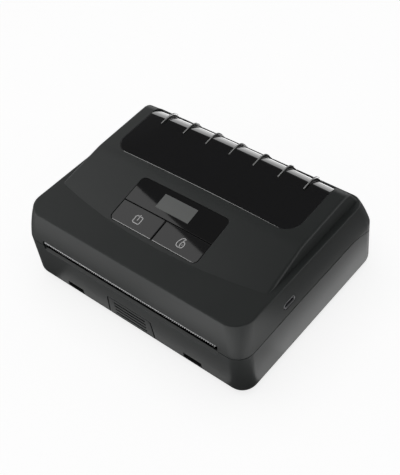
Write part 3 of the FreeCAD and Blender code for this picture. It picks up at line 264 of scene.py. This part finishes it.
def metalLook(name):
    look = metals[name]
    material, tree, shader = newMaterial(name)
    brush = addNode(tree, "ShaderNodeGroup", node_tree=brushGroup)
    setInputs(brush, Stretch=look["stretch"], Roughness=look["roughness"], Roughness_Change=texture["brushSheen"])
    bump = addNode(tree, "ShaderNodeBump")
    setInputs(bump, Strength=texture["brushBump"], Distance=texture["brushDepth"] * mm)
    tree.links.new(brush.outputs["Height"], bump.inputs["Height"])
    tree.links.new(brush.outputs["Roughness"], shader.inputs["Roughness"])
    tree.links.new(bump.outputs["Normal"], shader.inputs["Normal"])
    setInputs(shader, Base_Color=(*look["color"], 1), Metallic=look.get("metal", 1.0))
    return material


# Window, lens and display
gloss = {"windowColor": (0.006, 0.006, 0.0065), "lensColor": (0.008, 0.008, 0.0085), "roughness": 0.03, "ior": 1.5,
         "displayColor": (0.165, 0.171, 0.167), "displayRoughness": 0.22}


def glossLook(name, color, roughness):
    material, tree, shader = newMaterial(name)
    grain = addNode(tree, "ShaderNodeGroup", node_tree=grainGroup)
    setInputs(grain, Grain_Size=texture["glossGrain"], Color=(*color, 1), Color_Change=texture["glossChange"],
              Roughness=roughness, Roughness_Change=texture["glossSheen"])
    tree.links.new(grain.outputs["Color"], shader.inputs["Base Color"])
    tree.links.new(grain.outputs["Roughness"], shader.inputs["Roughness"])
    setInputs(shader, IOR=gloss["ior"])
    return material


looks = {name: plasticLook(name) for name in plastics}
looks.update({name: metalLook(name) for name in metals})
looks["window"] = glossLook("smokedWindow", gloss["windowColor"], gloss["roughness"])
looks["lens"] = glossLook("displayLens", gloss["lensColor"], gloss["roughness"])
looks["display"] = glossLook("displayGlass", gloss["displayColor"], gloss["displayRoughness"])
print("materials ready:", len(looks))

# CAD nodes that keep their own mesh, by look
nodeLooks = {
    "inner": ["media_tray", "rack_cover", "board_tray", "panel_frame"],
    "guide": ["left_guide", "right_guide"],
    "gear": ["platen_bushes", "platen_gear", "idler_gear", "guide_pinion"],
    "steel": ["left_cheek", "right_cheek", "stepper_motor", "idler_stud", "hinge_pins", "latch_spring", "latch_shaft",
              "latch_hooks", "platen_shaft", "platen_clip", "head_bracket", "catch_pins"],
    "screw": ["motor_screws", "battery_door_screws", "casing_screws", "cover_screws", "blade_screws"],
    "brass": ["battery_contacts", "motor_pinion"],
    "blade": ["tear_blade"],
    "aluminium": ["head_heatsink"],
    "port": ["usb_receptacle"],
    "battery": ["battery_pack"],
    "ceramic": ["print_head"],
    "platenRubber": ["platen_rubber"],
    "footRubber": ["rubber_feet"],
    "board": ["main_board", "key_board"],
    "chip": ["board_parts", "tact_switches", "label_sensor"],
    "display": ["lcd_module"],
}


def dressNodes():
    for look, names in nodeLooks.items():
        for name in names:
            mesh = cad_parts[name].data
            mesh.materials.clear()
            mesh.materials.append(looks[look])


# How edges are softened: the weld in millimetres, angles in degrees, and how squarely a facet faces the crown
softening = {"weld": 0.0005, "flatAngle": 0.4, "bevelAngle": 32, "segments": 2, "sharpAngle": 38, "weight": 80,
             "crownFacing": 0.9995}

# Shells whose edges are softened: CAD node, body, slot, look, width of the rounded edge in millimetres. A slope
# in degrees is given where the top is a glossy crown.
shells = {
    "lowerShell": {"node": "lower_casing", "body": "base", "slot": "casing", "look": "casing", "edge": 0.12},
    "upperShell": {"node": "upper_casing", "body": "cover", "slot": "casing", "look": "casing", "edge": 0.15},
    "topPanel": {"node": "hood", "body": "cover", "slot": "casing", "look": "casing", "edge": 0.15},
    "rollWindow": {"node": "paper_window", "body": "cover", "slot": "smoked_window", "look": "window", "edge": 0.3,
                   "slope": 2.8},
    "powerCap": {"node": "power_key", "body": "power_button", "slot": "key_cap", "look": "keyCap", "edge": 0.4,
                 "slope": 12.4},
    "feedCap": {"node": "feed_key", "body": "feed_button", "slot": "key_cap", "look": "keyCap", "edge": 0.4,
                "slope": 12.4},
    "lensPlate": {"node": "display_lens", "body": "cover", "slot": "lens", "look": "lens", "edge": 0.12,
                  "slope": 12.4},
    "releaseTab": {"node": "latch_tab", "body": "latch", "slot": "tab", "look": "tab", "edge": 0.12},
    "batteryDoor": {"node": "battery_door", "body": "base", "slot": "casing", "look": "casing", "edge": 0.15},
}


def plainMesh(piece):
    # the evaluated shape takes the place of the live modifiers
    finished = bpy.data.meshes.new_from_object(piece.evaluated_get(bpy.context.evaluated_depsgraph_get()))
    piece.modifiers.clear()
    piece.data = finished
    return finished


def evenCrown(mesh, slope):
    # facets of the crowned top take the true normals of the crown, so that reflections run straight
    normals = [corner.vector.copy() for corner in mesh.corner_normals]
    for face in mesh.polygons:
        if face.normal.dot(Vector((0, -math.sin(slope), math.cos(slope)))) < softening["crownFacing"]:
            continue
        for corner in face.loop_indices:
            x = mesh.vertices[mesh.loops[corner].vertex_index].co.x / mm
            lean = x / printer["crown"]
            normals[corner] = Vector((math.sin(lean), -math.sin(slope), math.cos(slope))).normalized()
    mesh.normals_split_custom_set([tuple(normal) for normal in normals])


def softenedCopy(name, values):
    mesh = paintedCopy(name, values["node"], values["look"])
    work = bmesh.new()
    work.from_mesh(mesh)
    bmesh.ops.remove_doubles(work, verts=work.verts, dist=softening["weld"] * mm)
    bmesh.ops.dissolve_limit(work, angle_limit=math.radians(softening["flatAngle"]), verts=work.verts,
                             edges=work.edges)
    work.to_mesh(mesh)
    work.free()
    piece = addObject(name, mesh)
    bevel = piece.modifiers.new("roundedEdges", "BEVEL")
    bevel.width = values["edge"] * mm
    bevel.segments = softening["segments"]
    bevel.limit_method = "ANGLE"
    bevel.angle_limit = math.radians(softening["bevelAngle"])
    bevel.use_clamp_overlap = False
    finished = plainMesh(piece)
    finished.shade_smooth()
    finished.set_sharp_from_angle(angle=math.radians(softening["sharpAngle"]))
    weighted = piece.modifiers.new("flatFaces", "WEIGHTED_NORMAL")
    weighted.keep_sharp = True
    weighted.weight = softening["weight"]
    plainMesh(piece)
    # a rounded edge can't stand out past the part's own box
    for vertex in piece.data.vertices:
        vertex.co = [min(max(value, low), high) for value, low, high in zip(vertex.co, *cadBox)]
    if "slope" in values:
        evenCrown(piece.data, math.radians(values["slope"]))
    finishPiece(piece, values["body"])
    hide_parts(values["node"])


def makeHeadCoils():
    mesh = paintedCopy("headCoils", "head_springs", "steel")
    piece = addObject("headCoils", mesh)
    finishPiece(piece, "cover")
    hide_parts("head_springs")
    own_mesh(piece)


# Geometry Nodes: a flat stroke that follows a drawn path
def makeStrokeTree():
    tree = bpy.data.node_groups.new("strokeAlongPath", "GeometryNodeTree")
    tree.interface.new_socket("Paths", in_out="INPUT", socket_type="NodeSocketGeometry")
    groupSockets(tree, [("Width", "NodeSocketFloat", 0.0004), ("Height", "NodeSocketFloat", 0.00004)], [])
    tree.interface.new_socket("Look", in_out="INPUT", socket_type="NodeSocketMaterial")
    tree.interface.new_socket("Strokes", in_out="OUTPUT", socket_type="NodeSocketGeometry")
    entry = addNode(tree, "NodeGroupInput")
    leave = addNode(tree, "NodeGroupOutput")
    level = addNode(tree, "GeometryNodeSetCurveNormal", mode="Z_UP")
    outline = addNode(tree, "GeometryNodeCurvePrimitiveQuadrilateral", mode="RECTANGLE")
    sweep = addNode(tree, "GeometryNodeCurveToMesh")
    sweep.inputs["Fill Caps"].default_value = True
    solid = addNode(tree, "GeometryNodeRealizeInstances")
    paint = addNode(tree, "GeometryNodeSetMaterial")
    tree.links.new(entry.outputs["Paths"], level.inputs["Curve"])
    tree.links.new(entry.outputs["Width"], outline.inputs["Width"])
    tree.links.new(entry.outputs["Height"], outline.inputs["Height"])
    tree.links.new(level.outputs["Curve"], sweep.inputs["Curve"])
    tree.links.new(outline.outputs["Curve"], sweep.inputs["Profile Curve"])
    tree.links.new(sweep.outputs["Mesh"], solid.inputs["Geometry"])
    tree.links.new(solid.outputs["Geometry"], paint.inputs["Geometry"])
    tree.links.new(entry.outputs["Look"], paint.inputs["Material"])
    tree.links.new(paint.outputs["Geometry"], leave.inputs["Strokes"])
    return tree


strokeTree = makeStrokeTree()


def setTreeInputs(modifier, **values):
    for item in modifier.node_group.interface.items_tree:
        if item.item_type == "SOCKET" and item.in_out == "INPUT" and item.name in values:
            modifier[item.identifier] = values[item.name]


def drawPaths(name, paths):
    # each path is a list of points and whether it closes
    curve = bpy.data.curves.new(name, "CURVE")
    curve.dimensions = "3D"
    for points, closed in paths:
        spline = curve.splines.new("POLY")
        spline.points.add(len(points) - 1)
        for target, point in zip(spline.points, points):
            target.co = (*(Vector(point) * mm), 1)
        spline.use_cyclic_u = closed
    return addObject(name, curve)


def strokePiece(name, paths, values, look, placement, tree=strokeTree, **others):
    # the drawn paths go through the tree, and come out as a plain mesh at its own place
    drawn = drawPaths(name + "Paths", paths)
    sweep = drawn.modifiers.new("strokes", "NODES")
    sweep.node_group = tree
    setTreeInputs(sweep, Width=values["stroke"] * mm, Height=values["thickness"] * mm, Look=looks[look], **others)
    mesh = bpy.data.meshes.new_from_object(drawn.evaluated_get(bpy.context.evaluated_depsgraph_get()))
    bpy.data.objects.remove(drawn)
    mesh.transform(placement)
    mesh.name = name
    return addObject(name, mesh)


def panelPlacement(x, run, lift):
    # turns a drawing on the flat into the sloping, crowned panel around one place
    slope = math.radians(printer["slope"])
    lean = x / printer["crown"]
    along = Vector((math.cos(lean), 0, -math.sin(lean)))
    up = Vector((0, math.cos(slope), math.sin(slope)))
    turn = Matrix((along, up, along.cross(up))).transposed()
    return Matrix.Translation(panelPoint(x, run, lift)) @ turn.to_4x4()


def arcPoints(centre, radius, start, end, steps):
    return [(centre[0] + radius * math.cos(math.radians(start + (end - start) * i / steps)),
             centre[1] + radius * math.sin(math.radians(start + (end - start) * i / steps)), 0)
            for i in range(steps + 1)]


# Printed symbols on the keys, in millimetres from the middle of each symbol
symbols = {"stroke": 0.55, "thickness": 0.05, "sink": 0.02, "powerPlace": (-14.9, 9.35), "feedPlace": (16.4, 9.6),
           "boxHalf": 2.35, "boxCorner": 0.9, "cornerSteps": 5, "boxGap": 0.55, "barLow": -0.5, "barHigh": 3.4,
           "rollBody": ((0.75, -2.45), (-0.25, -2.85), (-1.3, -2.7), (-2.05, -2.1), (-2.4, -1.2), (-2.3, 0.0),
                        (-1.9, 1.05), (-1.45, 2.0), (-0.9, 2.75), (-0.1, 3.15), (1.25, 2.9), (0.7, 2.2),
                        (0.45, 1.2)),
           "rollEnd": (1.05, -0.75), "endReach": (1.2, 1.9), "endTurn": 345, "endSteps": 23,
           "coreEnds": ((1.0, -1.05), (1.1, -0.5))}


def powerPaths():
    half, corner, gap = symbols["boxHalf"], symbols["boxCorner"], symbols["boxGap"]
    inner = half - corner
    outline = [(gap, half, 0)]
    for cx, cy, start in ((inner, inner, 90), (inner, -inner, 0), (-inner, -inner, -90), (-inner, inner, -180)):
        outline += arcPoints((cx, cy), corner, start, start - 90, symbols["cornerSteps"])
    outline.append((-gap, half, 0))
    bar = [(0, symbols["barLow"], 0), (0, symbols["barHigh"], 0)]
    return [(outline, False), (bar, False)]


def feedPaths():
    # a roll of labels with its loose end, and the round end of the roll with its core
    body = [(x, y, 0) for x, y in symbols["rollBody"]]
    (cx, cy), (reachX, reachY) = symbols["rollEnd"], symbols["endReach"]
    turn = arcPoints((0, 0), 1, 0, symbols["endTurn"], symbols["endSteps"])
    end = [(cx + reachX * x, cy + reachY * y, 0) for x, y, z in turn]
    core = [(x, y, 0) for x, y in symbols["coreEnds"]]
    return [(body, False), (end, True), (core, False)]


def makeSymbols():
    lift = symbols["thickness"] / 2 - printer["keySink"] - symbols["sink"]
    for name, paths, place, body in (("powerSymbol", powerPaths(), symbols["powerPlace"], "power_button"),
                                     ("feedSymbol", feedPaths(), symbols["feedPlace"], "feed_button")):
        piece = strokePiece(name, paths, symbols, "print", panelPlacement(*place, lift))
        finishPiece(piece, body)


# Steel mouth of the port, flush in its opening in the right side
port = {"place": (78.85, -20.0, 39.4), "lean": 6.4, "halfWidth": 4.5, "halfHeight": 1.6, "endSteps": 12,
        "stroke": 0.3, "thickness": 0.8}


def makePortRing():
    reach = port["halfWidth"] - port["halfHeight"]
    path = arcPoints((reach, 0), port["halfHeight"], -90, 90, port["endSteps"])
    path += arcPoints((-reach, 0), port["halfHeight"], 90, 270, port["endSteps"])
    lean = math.radians(port["lean"])
    up = Vector((-math.sin(lean), 0, math.cos(lean)))
    along = Vector((0, 1, 0))
    turn = Matrix((along, up, along.cross(up))).transposed()
    placement = Matrix.Translation(Vector(port["place"]) * mm) @ turn.to_4x4()
    piece = strokePiece("portRing", [(path, True)], port, "screw", placement)
    finishPiece(piece, "cover")


# Pale crests of the window's fins: one path over the rear curve, repeated across the window. Their pale colour is a
# painted highlight that stands for the light the crests reflect.
crests = {"count": 7, "pitch": 17.03, "start": 33.0, "end": 47.5, "steps": 40, "stroke": 0.7, "thickness": 0.12,
          "lift": 0.03, "belowTop": 0.005}


def makeRowTree():
    tree = bpy.data.node_groups.new("strokesInRow", "GeometryNodeTree")
    tree.interface.new_socket("Paths", in_out="INPUT", socket_type="NodeSocketGeometry")
    groupSockets(tree, [("Width", "NodeSocketFloat", 0.0007), ("Height", "NodeSocketFloat", 0.00012),
                        ("Pitch", "NodeSocketFloat", 0.01)], [])
    tree.interface.new_socket("Count", in_out="INPUT", socket_type="NodeSocketInt").default_value = 7
    tree.interface.new_socket("Look", in_out="INPUT", socket_type="NodeSocketMaterial")
    tree.interface.new_socket("Row", in_out="OUTPUT", socket_type="NodeSocketGeometry")
    entry = addNode(tree, "NodeGroupInput")
    leave = addNode(tree, "NodeGroupOutput")
    stroke = addNode(tree, "GeometryNodeGroup", node_tree=strokeTree)
    for name in ("Paths", "Width", "Height", "Look"):
        tree.links.new(entry.outputs[name], stroke.inputs[name])
    line = addNode(tree, "GeometryNodeMeshLine", mode="OFFSET", count_mode="TOTAL")
    step = addNode(tree, "ShaderNodeCombineXYZ")
    tree.links.new(entry.outputs["Pitch"], step.inputs["X"])
    tree.links.new(entry.outputs["Count"], line.inputs["Count"])
    tree.links.new(step.outputs["Vector"], line.inputs["Offset"])
    row = addNode(tree, "GeometryNodeInstanceOnPoints")
    tree.links.new(line.outputs["Mesh"], row.inputs["Points"])
    tree.links.new(stroke.outputs["Strokes"], row.inputs["Instance"])
    solid = addNode(tree, "GeometryNodeRealizeInstances")
    paint = addNode(tree, "GeometryNodeSetMaterial")
    tree.links.new(row.outputs["Instances"], solid.inputs["Geometry"])
    tree.links.new(solid.outputs["Geometry"], paint.inputs["Geometry"])
    tree.links.new(entry.outputs["Look"], paint.inputs["Material"])
    tree.links.new(paint.outputs["Geometry"], leave.inputs["Row"])
    return tree


def crestPath():
    # the middle fin's crest, found by looking straight down on the window
    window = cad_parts["paper_window"].data
    skin = BVHTree.FromPolygons([vertex.co for vertex in window.vertices],
                                [list(polygon.vertices) for polygon in window.polygons])
    top = cadBox[1][2] - (crests["belowTop"] + crests["thickness"] / 2) * mm
    points = []
    for i in range(crests["steps"] + 1):
        y = (crests["start"] + (crests["end"] - crests["start"]) * i / crests["steps"]) * mm
        place, normal, index, distance = skin.ray_cast(Vector((0, y, 0.1)), Vector((0, 0, -1)))
        if place:
            inside = place + normal * (crests["lift"] - crests["thickness"] / 2) * mm
            points.append((0, inside.y / mm, min(inside.z, top) / mm))
    return points


def makeCrests():
    first = Matrix.Translation((-crests["pitch"] * (crests["count"] - 1) / 2 * mm, 0, 0))
    # the crest strokes carry the pale painted highlight
    piece = strokePiece("finCrests", [(crestPath(), False)], crests, "paintedCrestHighlight", first, makeRowTree(),
                        Pitch=crests["pitch"] * mm, Count=crests["count"])
    finishPiece(piece, "cover")


# Display face under the lens: a thin crowned plate with a raised rim, in millimetres
displayFace = {"columns": 24, "rows": 10, "rim": 0.35, "lift": 0.02, "rimLift": 0.035, "depth": 0.06}


def makeDisplayFace():
    half, front, rear = printer["displayHalf"], printer["displayFront"], printer["displayRear"]
    columns, rows, rim = displayFace["columns"], displayFace["rows"], displayFace["rim"]
    across = [-half, -half + rim] + [-half + rim + (2 * half - 2 * rim) * (i + 1) / columns for i in range(columns)]
    across.append(half)
    along = [front, front + rim] + [front + rim + (rear - front - 2 * rim) * (i + 1) / rows for i in range(rows)]
    along.append(rear)
    work = bmesh.new()
    grids = []
    for depth in (0, displayFace["depth"]):
        grid = []
        for j, run in enumerate(along):
            row = []
            for i, x in enumerate(across):
                onRim = i in (0, len(across) - 1) or j in (0, len(along) - 1)
                lift = displayFace["rimLift"] if onRim else displayFace["lift"]
                row.append(work.verts.new(panelPoint(x, run, lift - depth - printer["keySink"])))
            grid.append(row)
        grids.append(grid)
    top, bottom = grids
    for j in range(len(along) - 1):
        for i in range(len(across) - 1):
            work.faces.new((top[j][i], top[j][i + 1], top[j + 1][i + 1], top[j + 1][i]))
            work.faces.new((bottom[j][i], bottom[j + 1][i], bottom[j + 1][i + 1], bottom[j][i + 1]))
    ring = [(0, i) for i in range(len(across))] + [(j, len(across) - 1) for j in range(1, len(along))]
    ring += [(len(along) - 1, i) for i in reversed(range(len(across) - 1))]
    ring += [(j, 0) for j in reversed(range(1, len(along) - 1))]
    for a, b in zip(ring, ring[1:] + ring[:1]):
        work.faces.new((top[a[0]][a[1]], bottom[a[0]][a[1]], bottom[b[0]][b[1]], top[b[0]][b[1]]))
    bmesh.ops.recalc_face_normals(work, faces=work.faces)
    mesh = bpy.data.meshes.new("displayFace")
    work.to_mesh(mesh)
    work.free()
    mesh.materials.append(looks["display"])
    finishPiece(addObject("displayFace", mesh), "cover")


# Lights. Sizes and places are in metres; glow is how bright each lamp looks, where 1 is white.
studio = {
    "ambient": 0.25,
    "sky": ((0.0, 1.0), (0.15, 1.0), (0.46, 0.9), (0.53, 0.2), (0.64, 0.1), (1.0, 0.118)),
    "skyGlow": 1.1,
    "floorColor": (0.4, 0.4, 0.4),
    "floorHalf": 0.5,
    "floorRoughness": 0.9,
    "floorLift": 0.8,
    "lamps": {
        "overheadFill": {"place": (0.0, 0.0, 1.1), "size": (1.4, 1.2), "glow": 0.72, "turn": (0, 0, 0),
                         "glossy": False, "diffuse": True},
        "lensCard": {"place": (-0.56, -0.09, 0.7), "size": (0.62, 0.4), "glow": 1.15, "turn": (0, 0, -12.4),
                     "glossy": True, "diffuse": False},
        "frontSheet": {"place": (-0.05, -0.21, 0.0006), "size": (0.5, 0.19), "glow": 1.15, "turn": (180, 0, 0),
                       "glossy": True, "diffuse": True},
        "frontEdge": {"place": (0.0, -0.0655, 0.0006), "size": (0.13, 0.005), "glow": 0.8, "turn": (180, 0, 0),
                      "glossy": True, "diffuse": True},
        "bandSheet": {"place": (0.05, -0.15, 0.0008), "size": (0.14, 0.1), "glow": 0.5, "turn": (180, 0, 0),
                      "glossy": True, "diffuse": False},
        "cornerSheet": {"place": (0.16, -0.055, 0.0006), "size": (0.1, 0.1), "glow": 1.3, "turn": (180, 0, 0),
                        "glossy": True, "diffuse": False},
        "sideSheet": {"place": (0.0865, 0.031, 0.0006), "size": (0.011, 0.112), "glow": 1.5, "turn": (180, 0, 0),
                      "glossy": True, "diffuse": True},
        "sideFront": {"place": (0.0865, -0.036, 0.0006), "size": (0.011, 0.022), "glow": 1.15, "turn": (180, 0, 0),
                      "glossy": True, "diffuse": True},
        "rearSheet": {"place": (-0.2, 0.3, 0.0006), "size": (0.5, 0.44), "glow": 2.2, "turn": (180, 0, 0),
                      "glossy": True, "diffuse": False, "lights": ("rollWindow",)},
        "rearCard": {"place": (-0.62, 0.85, 0.3), "size": (0.9, 0.66), "glow": 2.2, "turn": (74, 0, 216),
                     "glossy": True, "diffuse": False, "lights": ("rollWindow",)},
        "edgeCard": {"place": (-0.58, -0.52, 0.62), "size": (0.6, 1.0), "glow": 9.0, "turn": (51, 0, -48),
                     "glossy": True, "diffuse": False, "lights": ("powerCap", "feedCap", "rollWindow")},
    },
}


def addLamp(name, values):
    data = bpy.data.lights.new(name, "AREA")
    data.shape = "RECTANGLE"
    data.size, data.size_y = values["size"]
    data.energy = values["glow"] * math.pi * data.size * data.size_y
    lamp = addObject(name, data)
    lamp.location = values["place"]
    lamp.rotation_euler = [math.radians(angle) for angle in values["turn"]]
    lamp.visible_glossy = values["glossy"]
    lamp.visible_diffuse = values["diffuse"]
    lamp.visible_camera = False
    if "lights" in values:
        lit = bpy.data.collections.new(name + "Lights")
        for piece in values["lights"]:
            lit.objects.link(bpy.data.objects[piece])
        lamp.light_linking.receiver_collection = lit


def setWorld():
    # white for the camera; for gloss, a bright horizon under a dark ceiling; plain light for the rest
    world = bpy.data.worlds.new("studio")
    bpy.context.scene.world = world
    world.use_nodes = True
    world.cycles.sampling_method = "NONE"
    tree = world.node_tree
    plain = tree.nodes["Background"]
    path = addNode(tree, "ShaderNodeLightPath")
    place = addNode(tree, "ShaderNodeTexCoord")
    height = addNode(tree, "ShaderNodeSeparateXYZ")
    tree.links.new(place.outputs["Generated"], height.inputs[0])
    sky = addNode(tree, "ShaderNodeValToRGB")
    stops = sky.color_ramp.elements
    while len(stops) < len(studio["sky"]):
        stops.new(0.5)
    for stop, (position, level) in zip(stops, studio["sky"]):
        stop.position = position
        stop.color = (level, level, level, 1)
    tree.links.new(height.outputs["Z"], sky.inputs["Fac"])
    glow = addNode(tree, "ShaderNodeMath", operation="MULTIPLY")
    glow.inputs[1].default_value = studio["skyGlow"]
    tree.links.new(sky.outputs["Color"], glow.inputs[0])
    shiny = addNode(tree, "ShaderNodeMath", operation="MAXIMUM")
    tree.links.new(path.outputs["Is Glossy Ray"], shiny.inputs[0])
    tree.links.new(path.outputs["Is Transmission Ray"], shiny.inputs[1])
    mixed = addNode(tree, "ShaderNodeMix", data_type="FLOAT")
    tree.links.new(shiny.outputs[0], mixed.inputs["Factor"])
    mixed.inputs["A"].default_value = studio["ambient"]
    tree.links.new(glow.outputs[0], mixed.inputs["B"])
    seen = addNode(tree, "ShaderNodeMix", data_type="FLOAT")
    tree.links.new(path.outputs["Is Camera Ray"], seen.inputs["Factor"])
    tree.links.new(mixed.outputs["Result"], seen.inputs["A"])
    seen.inputs["B"].default_value = 1.0
    tree.links.new(seen.outputs["Result"], plain.inputs["Strength"])
    setInputs(plain, Color=(1, 1, 1, 1))


def makeFloor():
    mesh = bpy.data.meshes.new("floor")
    half = studio["floorHalf"]
    mesh.from_pydata([(-half, -half, 0), (half, -half, 0), (half, half, 0), (-half, half, 0)], [], [(0, 1, 2, 3)])
    floor = addObject("floor", mesh)
    material, tree, shader = newMaterial("floor")
    setInputs(shader, Base_Color=(*studio["floorColor"], 1), Roughness=studio["floorRoughness"],
              Specular_IOR_Level=0.0)
    path = addNode(tree, "ShaderNodeLightPath")
    lift = addNode(tree, "ShaderNodeMath", operation="MULTIPLY")
    lift.inputs[1].default_value = studio["floorLift"]
    tree.links.new(path.outputs["Is Camera Ray"], lift.inputs[0])
    tree.links.new(lift.outputs[0], shader.inputs["Emission Strength"])
    setInputs(shader, Emission_Color=(1, 1, 1, 1))
    mesh.materials.append(material)


def makeStudio():
    for name, values in studio["lamps"].items():
        addLamp(name, values)
    setWorld()
    makeFloor()
    bpy.context.scene.view_settings.view_transform = "Standard"


setCamera()
dressNodes()
for shellName, shellValues in shells.items():
    softenedCopy(shellName, shellValues)
print("shells ready:", len(shells))
makeHeadCoils()
makeSymbols()
makePortRing()
makeCrests()
makeDisplayFace()
print("key symbols and display ready")
makeStudio()
print("studio ready")
